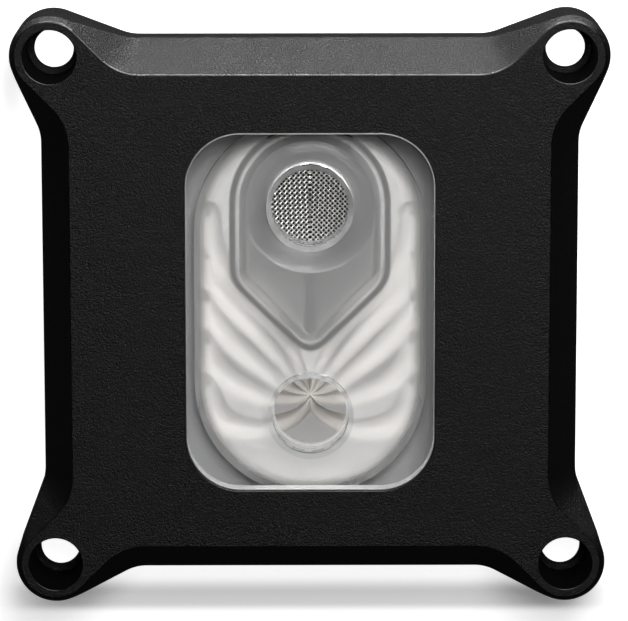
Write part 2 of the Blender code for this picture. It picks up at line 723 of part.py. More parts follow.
def fin_bank(pool_floor):
    """All fins as one group of upright blades, rooted in the metal under the pool."""
    fin_count = int(FIN_FIELD / FIN_PITCH)
    top = PLATE_TOP - FIN_DROP
    root = pool_floor - (pool_floor - PLATE_BOTTOM) / 2
    fins = bmesh.new()
    for i in range(fin_count):
        y = (i - (fin_count - 1) / 2) * FIN_PITCH
        for vert in bmesh.ops.create_cube(fins, size=1.0)["verts"]:
            vert.co.x *= FIN_LENGTH
            vert.co.y = y + vert.co.y * FIN_WALL
            vert.co.z = top if vert.co.z > 0 else root
    return from_bmesh("fin_bank", fins)


# screws


def head_depth():
    return (SCREW_HEAD - SCREW_DIAMETER) / 2


def screw_hole_cutter(place):
    """A countersunk hole through the plate, one clearance larger than the screw."""
    bore = SCREW_DIAMETER / 2 + SCREW_HOLE_GAP
    head = SCREW_HEAD / 2 + SCREW_HOLE_GAP
    land = PLATE_BOTTOM + SCREW_HEAD_LAND
    profile = [
        (head, PLATE_BOTTOM - CUT_OVERRUN),
        (head, land),
        (bore, land + head_depth()),
        (bore, PLATE_TOP + CUT_OVERRUN),
    ]
    return stacked_circles("screw_hole_cutter", place, profile, SCREW_SIDES)


def build_screws():
    for number, place in enumerate(screw_places(), 1):
        x, y = place
        land = PLATE_BOTTOM + SCREW_HEAD_LAND
        profile = [
            (SCREW_HEAD / 2, PLATE_BOTTOM),
            (SCREW_HEAD / 2, land),
            (SCREW_DIAMETER / 2, land + head_depth()),
            (SCREW_DIAMETER / 2, PLATE_BOTTOM + SCREW_LENGTH),
        ]
        screw = stacked_circles(f"plate_screw_{number:02d}", (x, y), profile, SCREW_SIDES)
        socket = circle((x, y), SCREW_SOCKET / math.sqrt(3), 6)
        socket_top = PLATE_BOTTOM + SCREW_SOCKET_DEPTH
        cut(screw, [prism("socket_cutter", socket, PLATE_BOTTOM - CUT_OVERRUN, socket_top)])
        smooth(screw)
        add_material(screw, "black_screw", (0.05, 0.05, 0.055), 0.35, 1.0)


clear_scene()
build_frame()
build_window_block()
build_flow_guide()
build_divider_seal()
build_filter_ring()
build_filter_mesh()
build_base_seal()
build_cold_plate()
build_screws()
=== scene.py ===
import json
import math

import bmesh
import bpy
from mathutils import Matrix, Vector

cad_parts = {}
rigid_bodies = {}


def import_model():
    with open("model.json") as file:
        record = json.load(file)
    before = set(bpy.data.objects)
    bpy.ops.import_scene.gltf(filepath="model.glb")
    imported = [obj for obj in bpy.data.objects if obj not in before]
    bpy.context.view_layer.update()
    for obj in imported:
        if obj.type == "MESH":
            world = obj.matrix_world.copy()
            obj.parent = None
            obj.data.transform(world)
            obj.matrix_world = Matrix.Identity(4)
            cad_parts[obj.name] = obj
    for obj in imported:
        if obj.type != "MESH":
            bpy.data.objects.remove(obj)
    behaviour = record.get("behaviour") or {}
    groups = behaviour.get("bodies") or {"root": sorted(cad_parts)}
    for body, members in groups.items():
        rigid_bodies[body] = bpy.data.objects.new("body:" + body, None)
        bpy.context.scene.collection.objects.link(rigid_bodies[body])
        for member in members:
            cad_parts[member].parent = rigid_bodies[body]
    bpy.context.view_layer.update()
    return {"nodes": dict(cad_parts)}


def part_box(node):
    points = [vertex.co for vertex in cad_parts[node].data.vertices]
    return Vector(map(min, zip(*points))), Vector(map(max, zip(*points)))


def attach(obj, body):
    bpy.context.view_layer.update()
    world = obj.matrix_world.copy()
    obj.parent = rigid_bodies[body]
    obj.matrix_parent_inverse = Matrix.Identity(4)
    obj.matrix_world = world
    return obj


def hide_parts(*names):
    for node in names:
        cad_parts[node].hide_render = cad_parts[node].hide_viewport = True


for thing in list(bpy.data.objects):          # start from an empty scene
    bpy.data.objects.remove(thing, do_unlink=True)

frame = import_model()
nodes = frame["nodes"]
scene = bpy.context.scene
mm = 0.001
print("frame loaded:", len(nodes), "nodes")

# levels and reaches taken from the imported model
frameLow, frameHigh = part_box("top_frame")
plateLow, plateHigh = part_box("cold_plate")
blockLow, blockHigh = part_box("window_block")
guideLow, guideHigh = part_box("flow_guide")
dividerLow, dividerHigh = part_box("divider_seal")
meshLow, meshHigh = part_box("filter_mesh")
ringLow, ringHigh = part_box("filter_ring")
baseSealLow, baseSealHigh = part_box("base_seal")
portY = (meshLow.y + meshHigh.y) / 2          # both ports stand this far from the middle


# sums and other nodes

class Wire:
    def __init__(self, socket):
        self.socket = socket

    def calc(self, operation, other=None, swapped=False, third=None):
        made = self.socket.id_data.nodes.new("ShaderNodeMath")
        made.operation = operation
        parts = [other, self] if swapped else [self, other]
        for place, part in zip(made.inputs, parts + [third]):
            if part is not None:
                feed(place, part)
        return Wire(made.outputs[0])

    def also(self, name):                     # another output of the same node
        return Wire(self.socket.node.outputs[name])

    def __add__(self, other):
        return self.calc("ADD", other)

    def __radd__(self, other):
        return self.calc("ADD", other)

    def __sub__(self, other):
        return self.calc("SUBTRACT", other)

    def __rsub__(self, other):
        return self.calc("SUBTRACT", other, swapped=True)

    def __mul__(self, other):
        return self.calc("MULTIPLY", other)

    def __rmul__(self, other):
        return self.calc("MULTIPLY", other)

    def __truediv__(self, other):
        return self.calc("DIVIDE", other)

    def __pow__(self, other):
        return self.calc("POWER", other)

    def most(self, other):
        return self.calc("MAXIMUM", other)

    def least(self, other):
        return self.calc("MINIMUM", other)

    def clamp(self):
        return self.most(0.0).least(1.0)


def feed(place, value):
    if isinstance(value, Wire):
        place.id_data.links.new(value.socket, place)
    else:
        place.default_value = value


class Graph:
    def __init__(self, tree):
        self.tree = tree

    def add(self, kind, settings=None, sockets=None, out=0):
        made = self.tree.nodes.new(kind)
        for name, value in (settings or {}).items():
            setattr(made, name, value)
        for name, value in (sockets or {}).items():
            feed(made.inputs[name], value)
        return Wire(made.outputs[out]) if made.outputs else None

    def ramp(self, value, low, high, toLow=0.0, toHigh=1.0):
        return self.add(
            "ShaderNodeMapRange",
            {"interpolation_type": "SMOOTHSTEP"},
            {"Value": value, "From Min": low, "From Max": high, "To Min": toLow, "To Max": toHigh},
        )

    def noise(self, place, scale, detail=3.0, roughness=0.55):
        return self.add(
            "ShaderNodeTexNoise",
            {"noise_dimensions": "3D"},
            {"Vector": place, "Scale": scale, "Detail": detail, "Roughness": roughness},
        )

    def tint(self, factor, first, second):
        return self.add(
            "ShaderNodeMix", {"data_type": "RGBA"}, {0: factor, 6: first, 7: second}, out=2
        )

    def bump(self, height, strength, distance):
        return self.add(
            "ShaderNodeBump", None, {"Height": height, "Strength": strength, "Distance": distance}
        )


def grey(level, warm=0.0):
    return (level * (1 + warm), level, level * (1 - warm), 1.0)


def material(name):
    made = bpy.data.materials.new(name)
    made.use_nodes = True
    made.node_tree.nodes.clear()
    graph = Graph(made.node_tree)
    place = graph.add("ShaderNodeTexCoord", out="Object")
    return made, graph, place


def finishSurface(graph, sockets):
    shader = graph.add("ShaderNodeBsdfPrincipled", None, sockets)
    graph.add("ShaderNodeOutputMaterial", None, {"Surface": shader})


# finishes

shieldSizes = {
    "radius": 11.8 * mm,          # seal's centre line round the inlet
    "sideDrop": 9.75 * mm,
    "pointAngle": math.radians(45.0),
    "shoulder": 5.0 * mm,
    "tip": 3.6 * mm,
    "sharpest": 0.05 * mm,
}


anodisedLook = {
    "darkest": 0.0007,
    "lightest": 0.0024,
    "grain": 3700.0,
    "fleck": 8510.0,
    "cloud": 60.0,
    "roughness": (0.30, 0.42),
    "specular": 0.235,
    "bump": 1.0,
    "bumpDepth": 0.16 * mm,
    "edge": 0.050,                # bare look of the broken edges
    "edgeRoughness": 0.25,
}


def makeAnodised():
    made, graph, place = material("blackAnodised")
    look = anodisedLook
    grain = graph.noise(place, look["grain"], 2.0, 0.6)
    fleck = graph.noise(place, look["fleck"], 1.0, 0.5)
    cloud = graph.noise(place, look["cloud"], 2.0)
    mixed = graph.ramp(grain * 0.7 + fleck * 0.3, 0.36, 0.66)
    shade = (mixed * 0.8 + cloud * 0.2).clamp()
    finishSurface(graph, {
        "Base Color": graph.tint(shade, grey(look["darkest"]), grey(look["lightest"])),
        "Roughness": graph.ramp(mixed, 0.0, 1.0, *look["roughness"]),
        "Specular IOR Level": look["specular"],
        "Normal": graph.bump(grain + fleck * 0.5, look["bump"], look["bumpDepth"]),
    })
    return made


def makeAnodisedEdge():
    made, graph, place = material("anodisedEdge")
    look = anodisedLook
    wear = graph.noise(place, 700.0, 3.0)
    finishSurface(graph, {
        "Base Color": graph.tint(graph.ramp(wear, 0.3, 0.7), grey(look["edge"] * 0.6), grey(look["edge"])),
        "Metallic": 1.0,
        "Roughness": graph.ramp(wear, 0.3, 0.7, look["edgeRoughness"], look["edgeRoughness"] + 0.1),
        "Normal": graph.bump(wear, 0.1, 0.01 * mm),
    })
    return made


clearLook = {"colour": (0.985, 0.988, 0.99, 1.0), "clear": 1.0, "roughness": 0.01, "shade": 0.10}
satinLook = {"colour": (0.84, 0.838, 0.83, 1.0), "clear": 0.80, "roughness": 0.48, "shade": 0.10}
sawnLook = {"colour": (0.84, 0.84, 0.835, 1.0), "clear": 0.40, "roughness": 0.35, "shade": 0.15}
# the underside is a darker grey: painted shade in the corners outside the chamber, and it lets less of the
# plate show through
shadedFootLook = {"colour": (0.45, 0.45, 0.455, 1.0), "clear": 0.45, "roughness": 0.48, "shade": 0.10}
boredLook = {"colour": (0.64, 0.655, 0.67, 1.0), "clear": 1.0, "roughness": 0.11, "shade": 0.10}


sealLineLook = {
    "line": (0.108 * mm, 0.72 * mm),   # from the seal's centre line
    "shade": 0.46,
    "soft": 2.5 * mm,
    "round": 1.5 * mm,
    "within": 0.80,               # satin inside the seal, a little darker and smoother
    "withinFrom": (-2.0 * mm, -0.6 * mm),
    "smoother": 0.12,
}


def fromSeal(graph, place):
    # distance from the divider seal's centre line in plan, negative inside it
    size, look = shieldSizes, sealLineLook
    across = graph.add("ShaderNodeSeparateXYZ", None, {"Vector": place}, out="X")
    up = across.also("Y")
    above = (up - portY).most(0.0)
    side = (across * across + above * above).calc("SQRT") - size["radius"]
    lean = math.pi / 2 - size["pointAngle"]
    blunt = (across * across + look["round"] ** 2).calc("SQRT")
    shoulderX = size["radius"] - size["shoulder"]
    shoulderY = portY - size["sideDrop"]
    point = (blunt - shoulderX) * math.cos(lean) + (shoulderY - up) * math.sin(lean) - size["shoulder"]
    return side.calc("SMOOTH_MAX", point, third=look["soft"])


def makeAcrylic(name, look, grain, bump, overSealLine=False):
    made, graph, place = material(name)
    wipe = graph.noise(place, grain, 3.0)
    shadow = graph.add("ShaderNodeLightPath", out="Is Shadow Ray")
    colour = look["colour"]
    roughness = graph.ramp(wipe, 0.3, 0.8, look["roughness"], look["roughness"] + 0.05)
    if overSealLine:
        away = fromSeal(graph, place)
        within = graph.ramp(away, *sealLineLook["withinFrom"], 1.0, 0.0)
        colour = graph.tint(within, colour, grey(sealLineLook["within"]))
        roughness = roughness - within * sealLineLook["smoother"]
        # a darker line is painted along the seal's centre line, standing in for the seal seen through the
        # satin
        line = graph.ramp(away.calc("ABSOLUTE"), *sealLineLook["line"], 1.0, 0.0)
        dark = tuple(part * sealLineLook["shade"] for part in look["colour"][:3]) + (1.0,)
        colour = graph.tint(line, colour, dark)
    finishSurface(graph, {
        "Base Color": colour,
        "Roughness": roughness,
        "IOR": 1.49,
        "Transmission Weight": look["clear"],
        "Alpha": 1.0 - shadow * (1.0 - look["shade"]),   # lamps shine through it
        "Normal": graph.bump(wipe, bump, 0.01 * mm),
    })
    return made


edgeLook = {"low": 0.34, "high": 0.48, "roughness": 0.40}


def makeEdgeLine():
    made, graph, place = material("scrapedAcrylicEdge")
    streak = graph.noise(place, 420.0, 3.0)
    scraped = graph.ramp(streak, 0.3, 0.7)
    finishSurface(graph, {
        "Base Color": graph.tint(scraped, grey(edgeLook["low"]), grey(edgeLook["high"])),
        "Roughness": edgeLook["roughness"],
        "Normal": graph.bump(streak, 0.2, 0.02 * mm),
    })
    return made


frostLook = {
    "land": 0.33,
    "leafShade": 0.15,                 # painted shade, darker land between the flutes in two patches
    "leafShadeAt": (8.3 * mm, -7.6 * mm, 6.5 * mm),
    "milled": 0.52,
    "milledFrom": (0.0, 1.4 * mm),
    "warm": (0.035, 0.05),        # of the milled faces, and of those under the outlet
    "warmFrom": (4.5 * mm, 7.0 * mm),
    "inlet": 0.20,                # land inside the divider seal
    "inletFrom": (-0.7 * mm, 0.3 * mm),
    "rim": 0.16,                  # painted shade towards the guide's outline, where its rounding turns from the light
    "rimWidth": 1.9 * mm,
    "roughness": 0.42,
    "marks": 0.10,
}
# painted shade: the funnel and slot are dark, darkest on the floor of the recess
funnelShadeLook = {"wall": 0.11, "floor": 0.02, "floorFrom": (2.2 * mm, 3.1 * mm)}


def makeFrost():
    made, graph, place = material("frostedGuide")
    look = frostLook
    across = graph.add("ShaderNodeSeparateXYZ", None, {"Vector": place}, out="X")
    depth = guideHigh.z - across.also("Z")
    milled = graph.ramp(depth, *look["milledFrom"])
    past = (across.also("Y").calc("ABSOLUTE") - (guideHigh.y - guideHigh.x)).most(0.0)
    away = guideHigh.x - (across * across + past * past).calc("SQRT")
    # painted shade near the guide's outline
    pastRimShade = graph.ramp(away, 0.0, look["rimWidth"])
    cloud = graph.noise(place, 180.0, 3.0)
    marks = graph.noise(place, 3000.0, 2.0)
    # painted shade: darker land in a patch on each side of the middle
    leafX, leafY, leafReach = look["leafShadeAt"]
    sideways, up = across.calc("ABSOLUTE") - leafX, across.also("Y") - leafY
    fromLeaf = (sideways * sideways + up * up).calc("SQRT")
    leafShade = graph.ramp(fromLeaf, leafReach * 0.6, leafReach * 1.1, 1.0, 0.0)
    land = graph.tint(leafShade, grey(look["land"], 0.02), grey(look["leafShade"], 0.01))
    within = graph.ramp(fromSeal(graph, place), *look["inletFrom"], 1.0, 0.0)
    land = graph.tint(within, land, grey(look["inlet"]))
    down = across.also("Y") + portY
    outlet = graph.ramp((across * across + down * down).calc("SQRT"), *look["warmFrom"], 1.0, 0.0)
    white = graph.tint(outlet, *[grey(look["milled"], warm) for warm in look["warm"]])
    # deeper faces turn lighter: partly the milled finish, partly painted light in the deep wells and
    # dimples
    body = graph.tint((milled * 0.94 + cloud * 0.12).clamp(), land, white)
    finishSurface(graph, {
        "Base Color": graph.tint(pastRimShade, grey(look["rim"], 0.01), body),
        "Roughness": graph.ramp(cloud, 0.3, 0.7, look["roughness"] - 0.06, look["roughness"] + 0.06),
        "Normal": graph.bump(marks, look["marks"], 0.01 * mm),
    })
    return made


def makeShadedFunnel():
    made, graph, place = material("shadedFunnel")
    height = graph.add("ShaderNodeSeparateXYZ", None, {"Vector": place}, out="Z")
    cloud = graph.noise(place, 150.0, 3.0)
    marks = graph.noise(place, 3000.0, 2.0)
    # painted shade: darker with depth below the guide's top
    deepShade = graph.ramp(guideHigh.z - height + cloud * 0.3 * mm, *funnelShadeLook["floorFrom"])
    finishSurface(graph, {
        "Base Color": graph.tint(deepShade, grey(funnelShadeLook["wall"], 0.03), grey(funnelShadeLook["floor"], 0.10)),
        "Roughness": 0.5,
        "Normal": graph.bump(marks, 0.1, 0.01 * mm),
    })
    return made


def makeRubber(name, dark, light):
    made, graph, place = material(name)
    grain = graph.noise(place, 1800.0, 3.0)
    finishSurface(graph, {
        "Base Color": graph.tint(grain, grey(dark), grey(light)),
        "Roughness": graph.ramp(grain, 0.3, 0.7, 0.55, 0.72),
        "Specular IOR Level": 0.35,
        "Normal": graph.bump(grain, 0.2, 0.01 * mm),
    })
    return made


def makeSteel(name, level, roughness, grainScale):
    made, graph, place = material(name)
    grain = graph.noise(place, grainScale, 3.0)
    finishSurface(graph, {
        "Base Color": graph.tint(grain, grey(level * 0.9, 0.01), grey(level, 0.015)),
        "Metallic": 1.0,
        "Roughness": graph.ramp(grain, 0.3, 0.7, roughness - 0.05, roughness + 0.08),
        "Normal": graph.bump(grain, 0.08, 0.005 * mm),
    })
    return made


nickelLook = {
    "dull": (0.60, 0.57, 0.53, 1.0),
    "bright": (0.72, 0.69, 0.65, 1.0),
    "fins": 0.08,                 # the fins stand in each other's shade
    "finsFrom": (-1.2 * mm, -0.6 * mm),
    "ground": (14.0, 1.0, 1.0),   # the marks of grinding run along Y
    "roughness": (0.20, 0.36),
}


def makeNickel():
    made, graph, place = material("groundNickel")
    look = nickelLook
    stretched = graph.add(
        "ShaderNodeMapping", {"vector_type": "POINT"}, {"Vector": place, "Scale": look["ground"]}
    )
    lines = graph.noise(stretched, 900.0, 3.0, 0.7)
    cloud = graph.noise(place, 70.0, 2.0)
    height = graph.add("ShaderNodeSeparateXYZ", None, {"Vector": place}, out="Z")
    fins = graph.ramp(height - plateHigh.z, *look["finsFrom"])
    ground = graph.tint(cloud, look["dull"], look["bright"])
    finishSurface(graph, {
        "Base Color": graph.tint(fins, ground, grey(look["fins"], 0.01)),
        "Metallic": 1.0,
        "Roughness": graph.ramp(lines, 0.3, 0.7, *look["roughness"]),
        "Normal": graph.bump(lines, 0.15, 0.006 * mm),
    })
    return made


blackAnodised = makeAnodised()
anodisedEdge = makeAnodisedEdge()
clearAcrylic = makeAcrylic("clearAcrylic", clearLook, 90.0, 0.02)
satinAcrylic = makeAcrylic("satinAcrylic", satinLook, 1400.0, 0.10, overSealLine=True)
sawnAcrylic = makeAcrylic("sawnAcrylic", sawnLook, 300.0, 0.10)
boredAcrylic = makeAcrylic("boredAcrylic", boredLook, 700.0, 0.05)
shadedFootAcrylic = makeAcrylic("shadedFootAcrylic", shadedFootLook, 1400.0, 0.10)
edgeAcrylic = makeEdgeLine()
frostedGuide = makeFrost()
shadedFunnel = makeShadedFunnel()
greySilicone = makeRubber("greySilicone", 0.06, 0.10)
blackRubber = makeRubber("blackRubber", 0.015, 0.03)
wireSteel = makeSteel("wireSteel", 0.92, 0.34, 4000.0)
ringSteel = makeSteel("ringSteel", 0.20, 0.50, 900.0)
screwSteel = makeSteel("blackenedSteel", 0.07, 0.34, 1500.0)
groundNickel = makeNickel()
print("finishes made")


# outlines in plan, counter-clockwise

def arc(centre, radius, start, end, steps):
    return [
        (
            centre[0] + radius * math.cos(start + (end - start) * i / steps),
            centre[1] + radius * math.sin(start + (end - start) * i / steps),
        )
        for i in range(steps + 1)
    ]


def circle(centre, radius, steps=96):
    return arc(centre, radius, 0.0, math.tau * (steps - 1) / steps, steps - 1)


def roundedBox(halfX, halfY, radius, steps=20):
    points = []
    for quarter, (sx, sy) in enumerate(((1, 1), (-1, 1), (-1, -1), (1, -1))):
        turn = quarter * math.pi / 2
        middle = (sx * (halfX - radius), sy * (halfY - radius))
        points += arc(middle, radius, turn, turn + math.pi / 2, steps)
    return points


def roundedEnds(halfX, halfY, steps=56):
    points = arc((0.0, halfY - halfX), halfX, 0.0, math.pi, steps)
    return points + arc((0.0, halfX - halfY), halfX, math.pi, math.tau, steps)


def cornerArc(centre, radius, start, end, inset, steps):
    left = radius - inset
    sharpest = shieldSizes["sharpest"]
    if left >= sharpest:
        return arc(centre, left, start, end, steps)
    short = sharpest - left       # past its own radius the corner closes up
    lean = 1.0 + math.cos(end - start)
    moved = (
        centre[0] - short * (math.cos(start) + math.cos(end)) / lean,
        centre[1] - short * (math.sin(start) + math.sin(end)) / lean,
    )
    return arc(moved, sharpest, start, end, steps)


def shield(inset=0.0):
    size = shieldSizes
    shoulderX = size["radius"] - size["shoulder"]
    shoulderY = portY - size["sideDrop"]
    lean = math.pi / 2 - size["pointAngle"]
    tipDrop = (shoulderX * math.cos(lean) + size["shoulder"] - size["tip"]) / math.sin(lean)
    tip = (0.0, shoulderY - tipDrop)
    points = arc((0.0, portY), size["radius"] - inset, 0.0, math.pi, 64)
    points += cornerArc((-shoulderX, shoulderY), size["shoulder"], math.pi, math.pi + lean, inset, 14)
    points += cornerArc(tip, size["tip"], math.pi + lean, math.tau - lean, inset, 18)
    points += cornerArc((shoulderX, shoulderY), size["shoulder"], math.tau - lean, math.tau, inset, 14)
    return points


# mesh helpers

def addObject(name, data):
    made = bpy.data.objects.new(name, data)
    scene.collection.objects.link(made)
    return made


def settle(name, shape):
    data = bpy.data.meshes.new(name)
    shape.to_mesh(data)
    shape.free()
    return addObject(name, data)


def fromBmesh(name, shape):
    bmesh.ops.remove_doubles(shape, verts=shape.verts, dist=0.0001 * mm)
    bmesh.ops.recalc_face_normals(shape, faces=shape.faces)
    return settle(name, shape)


def raised(outline, z):
    return [(x, y, z) for x, y in outline]


def loftInto(shape, rings, closed=False):
    loops = [[shape.verts.new(point) for point in ring] for ring in rings]
    pairs = list(zip(loops, loops[1:]))
    if closed:
        pairs.append((loops[-1], loops[0]))
    for low, high in pairs:
        for i, vert in enumerate(low):
            following = (i + 1) % len(low)
            shape.faces.new((vert, low[following], high[following], high[i]))
    if not closed:
        shape.faces.new(list(reversed(loops[0])))
        shape.faces.new(loops[-1])


def loft(name, rings, closed=False):
    shape = bmesh.new()
    loftInto(shape, rings, closed)
    return fromBmesh(name, shape)


def prism(name, outline, bottom, top):
    return loft(name, [raised(outline, bottom), raised(outline, top)])


def turned(name, centre, profile, steps):
    return loft(name, [raised(circle(centre, radius, steps), z) for radius, z in profile])


def paint(piece, skins, chosen=None):
    piece.data.materials.clear()
    for skin in skins:
        piece.data.materials.append(skin)
    index = skins.index(chosen) if chosen else 0
    for face in piece.data.polygons:
        face.material_index = index


def repaint(piece, skins, skinOf):
    for face in piece.data.polygons:
        skin = skinOf(face)
        if skin:
            face.material_index = skins.index(skin)


def combine(body, tool, operation="DIFFERENCE"):
    step = body.modifiers.new("cut", "BOOLEAN")
    step.operation = operation
    step.solver = "EXACT"
    step.object = tool
    graph = bpy.context.evaluated_depsgraph_get()
    result = bpy.data.meshes.new_from_object(body.evaluated_get(graph))
    body.modifiers.clear()
    body.data = result
    bpy.data.objects.remove(tool, do_unlink=True)


def joinMeshes(name, pieces):
    shape = bmesh.new()
    for piece in pieces:
        shape.from_mesh(piece.data)
        bpy.data.objects.remove(piece, do_unlink=True)
    return settle(name, shape)


def smooth(piece, angle=35.0, weighted=False):
    piece.data.shade_smooth()
    piece.data.set_sharp_from_angle(angle=math.radians(angle))
    if weighted:                               # broad faces stay flat beside their edge breaks
        step = piece.modifiers.new("flat", "WEIGHTED_NORMAL")
        step.weight = 100
        step.keep_sharp = True
        graph = bpy.context.evaluated_depsgraph_get()
        result = bpy.data.meshes.new_from_object(piece.evaluated_get(graph))
        piece.modifiers.clear()
        piece.data = result


def place(piece, slot, *replaced):
    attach(piece, "root")
    if replaced:
        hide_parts(*replaced)


# geometry trees

def newTree(name, inputs):
    tree = bpy.data.node_groups.new(name, "GeometryNodeTree")
    tree.interface.new_socket(name="Geometry", in_out="OUTPUT", socket_type="NodeSocketGeometry")
    for kind, labels in inputs.items():
        for label in labels:
            tree.interface.new_socket(name=label, in_out="INPUT", socket_type="NodeSocket" + kind)
    graph = Graph(tree)
    return tree, graph, graph.add("NodeGroupInput")


def endTree(graph, shape, finish):
    real = graph.add("GeometryNodeRealizeInstances", None, {"Geometry": shape})
    coated = graph.add("GeometryNodeSetMaterial", None, {"Geometry": real, "Material": finish})
    graph.add("NodeGroupOutput", None, {"Geometry": coated})


def grow(host, tree, values):
    step = host.modifiers.new("grow", "NODES")
    step.node_group = tree
    for item in tree.interface.items_tree:
        if item.in_out == "INPUT" and item.name in values:
            step[item.identifier] = values[item.name]
    graph = bpy.context.evaluated_depsgraph_get()
    result = bpy.data.meshes.new_from_object(host.evaluated_get(graph))
    host.modifiers.clear()
    host.data = result
    return host


# camera

cameraSizes = {                   # fitted to the photograph, the turn in radians
    "place": (-0.423 * mm, 108.927 * mm, frameHigh.z + 585.352 * mm),
    "turn": (0.18322, 0.00168, 0.00169),
    "lens": 225.64,
}


def addCamera():
    size = cameraSizes
    data = bpy.data.cameras.new("camera")
    data.lens = size["lens"]
    data.sensor_width = 36.0
    data.clip_start = 0.01
    data.clip_end = 20.0
    made = addObject("camera", data)
    turn = Matrix.Rotation(-size["turn"][0], 4, "X")
    turn = turn @ Matrix.Rotation(-size["turn"][1], 4, "Y") @ Matrix.Rotation(-size["turn"][2], 4, "Z")
    made.matrix_world = Matrix.Translation(size["place"]) @ turn
    scene.camera = made


addCamera()
scene.view_settings.view_transform = "Standard"


# top frame

frameSizes = {
    "chamferWidth": 4.55 * mm,
    "endWallExtra": 0.28 * mm,    # front and back walls stand this much further out
    "chamferSlope": 1.57,         # drop for each unit of width
    "faceHalf": 36.3 * mm,
    "earAt": 39.0 * mm,
    "earFaceRadius": 5.3 * mm,
    "earLip": 0.8 * mm,
    "faceNeck": (8.5 * mm, math.radians(45.0)),
    "wallNeck": (8.0 * mm, math.radians(20.5)),
    "counterbore": 4.2 * mm,
    "hole": 3.0 * mm,
    "ledge": 1.3 * mm,
    "windowHalf": (19.1 * mm, 27.7 * mm),
    "windowCorner": 8.6 * mm,
    "faceEdge": 0.14 * mm,        # edge breaks
    "wallEdge": 0.22 * mm,
    "rimEdge": 0.14 * mm,
    "footEdge": 0.35 * mm,
    "bareBand": 0.2 * mm,         # edge breaks this close to the face look bare, between two tilts
    "bareTilt": (0.58, 0.985),
    "sideSteps": 14,
    "hollowSteps": 20,
    "earSteps": 34,
}


def neck(halfSide, earRadius, neckShape):
    earAt = frameSizes["earAt"]
    radius, angle = neckShape
    earX = earAt - earRadius * math.sin(angle)
    earY = earAt + earRadius * math.cos(angle)
    rise = earY - halfSide - radius * (1 - math.cos(angle))
    slantX = earX - rise / math.tan(angle)
    return slantX - radius * math.sin(angle), slantX, earX, earY


def faceOutline():
    size = frameSizes
    half = size["faceHalf"]
    radius, angle = size["faceNeck"]
    hollowX, _, earX, earY = neck(half, size["earFaceRadius"], size["faceNeck"])
    rise = [(hollowX * i / size["sideSteps"], half) for i in range(size["sideSteps"])]
    low = -math.pi / 2
    rise += arc((hollowX, half + radius), radius, low, low + angle, size["hollowSteps"])
    lastX, lastY = rise[-1]
    rise += [(lastX + (earX - lastX) * t, lastY + (earY - lastY) * t) for t in (0.25, 0.5, 0.75)]
    ear = (size["earAt"], size["earAt"])
    rise += arc(ear, size["earFaceRadius"], math.pi / 2 + angle, math.pi / 4, size["earSteps"])
    quarter = [(y, x) for x, y in rise[:-1]] + rise[:0:-1]
    outline = []
    for _ in range(4):
        outline += quarter
        quarter = [(-y, x) for x, y in quarter]
    return outline


def wallReachAt(along, half):
    size = frameSizes
    ear = size["earFaceRadius"] + size["earLip"]
    radius, angle = size["wallNeck"]
    hollow, slant, earStart, earReach = neck(half, ear, size["wallNeck"])
    if along <= hollow:
        return half
    if along <= slant:
        return half + radius - math.sqrt(radius**2 - (along - hollow) ** 2)
    if along <= earStart:
        return earReach + (along - earStart) * math.tan(angle)
    return size["earAt"] + math.sqrt(max(ear**2 - (along - size["earAt"]) ** 2, 0.0))


def insideWall(x, y):
    half = frameSizes["faceHalf"] + frameSizes["chamferWidth"]
    if abs(y) > abs(x):
        return abs(y) < wallReachAt(abs(x), half + frameSizes["endWallExtra"])
    return abs(x) < wallReachAt(abs(y), half)


def distanceToWall(point, normal):
    near, far = 0.0, 3 * frameSizes["chamferWidth"]
    for _ in range(40):
        middle = (near + far) / 2
        if insideWall(point[0] + normal[0] * middle, point[1] + normal[1] * middle):
            near = middle
        else:
            far = middle
    return near


def outlineNormals(outline):
    normals = []
    for i, (x, y) in enumerate(outline):
        before, after = outline[i - 1], outline[(i + 1) % len(outline)]
        one = Vector((x - before[0], y - before[1])).normalized()
        two = Vector((after[0] - x, after[1] - y)).normalized()
        along = (one + two).normalized()
        normals.append((along.y, -along.x))
    return normals


def frameBody():
    size = frameSizes
    slope = size["chamferSlope"]
    span = math.hypot(1.0, slope)
    run, climb = 1.0 / span, slope / span     # unit step up the chamfer
    face = faceOutline()
    top, bottom = frameHigh.z, frameLow.z
    rings = [[] for _ in range(9)]
    for (x, y), (nx, ny) in zip(face, outlineNormals(face)):
        width = distanceToWall((x, y), (nx, ny))
        low = top - width * slope
        wallEdge = min(size["wallEdge"], width * 0.25)
        faceEdge = min(size["faceEdge"], width * 0.25)
        steps = [
            (width - size["footEdge"], bottom),
            (width - size["footEdge"] * 0.3, bottom + size["footEdge"] * 0.3),
            (width, bottom + size["footEdge"]),
            (width, low - wallEdge),
            (width - wallEdge * 0.16, low + wallEdge * 0.12),
            (width - wallEdge * run, low + wallEdge * climb),
            (faceEdge * run, top - faceEdge * climb),
            (-faceEdge * 0.12, top - faceEdge * 0.22),
            (-faceEdge, top),
        ]
        for ring, (out, z) in zip(rings, steps):
            ring.append((x + nx * out, y + ny * out, z))
    return loft("topFrame", rings)


def flared(outlineAt, low, top, edge):
    return [
        raised(outlineAt(0.0), low),
        raised(outlineAt(0.0), top - edge),
        raised(outlineAt(edge * 0.3), top - edge * 0.3),
        raised(outlineAt(edge), top),
        raised(outlineAt(edge), top + mm),
    ]


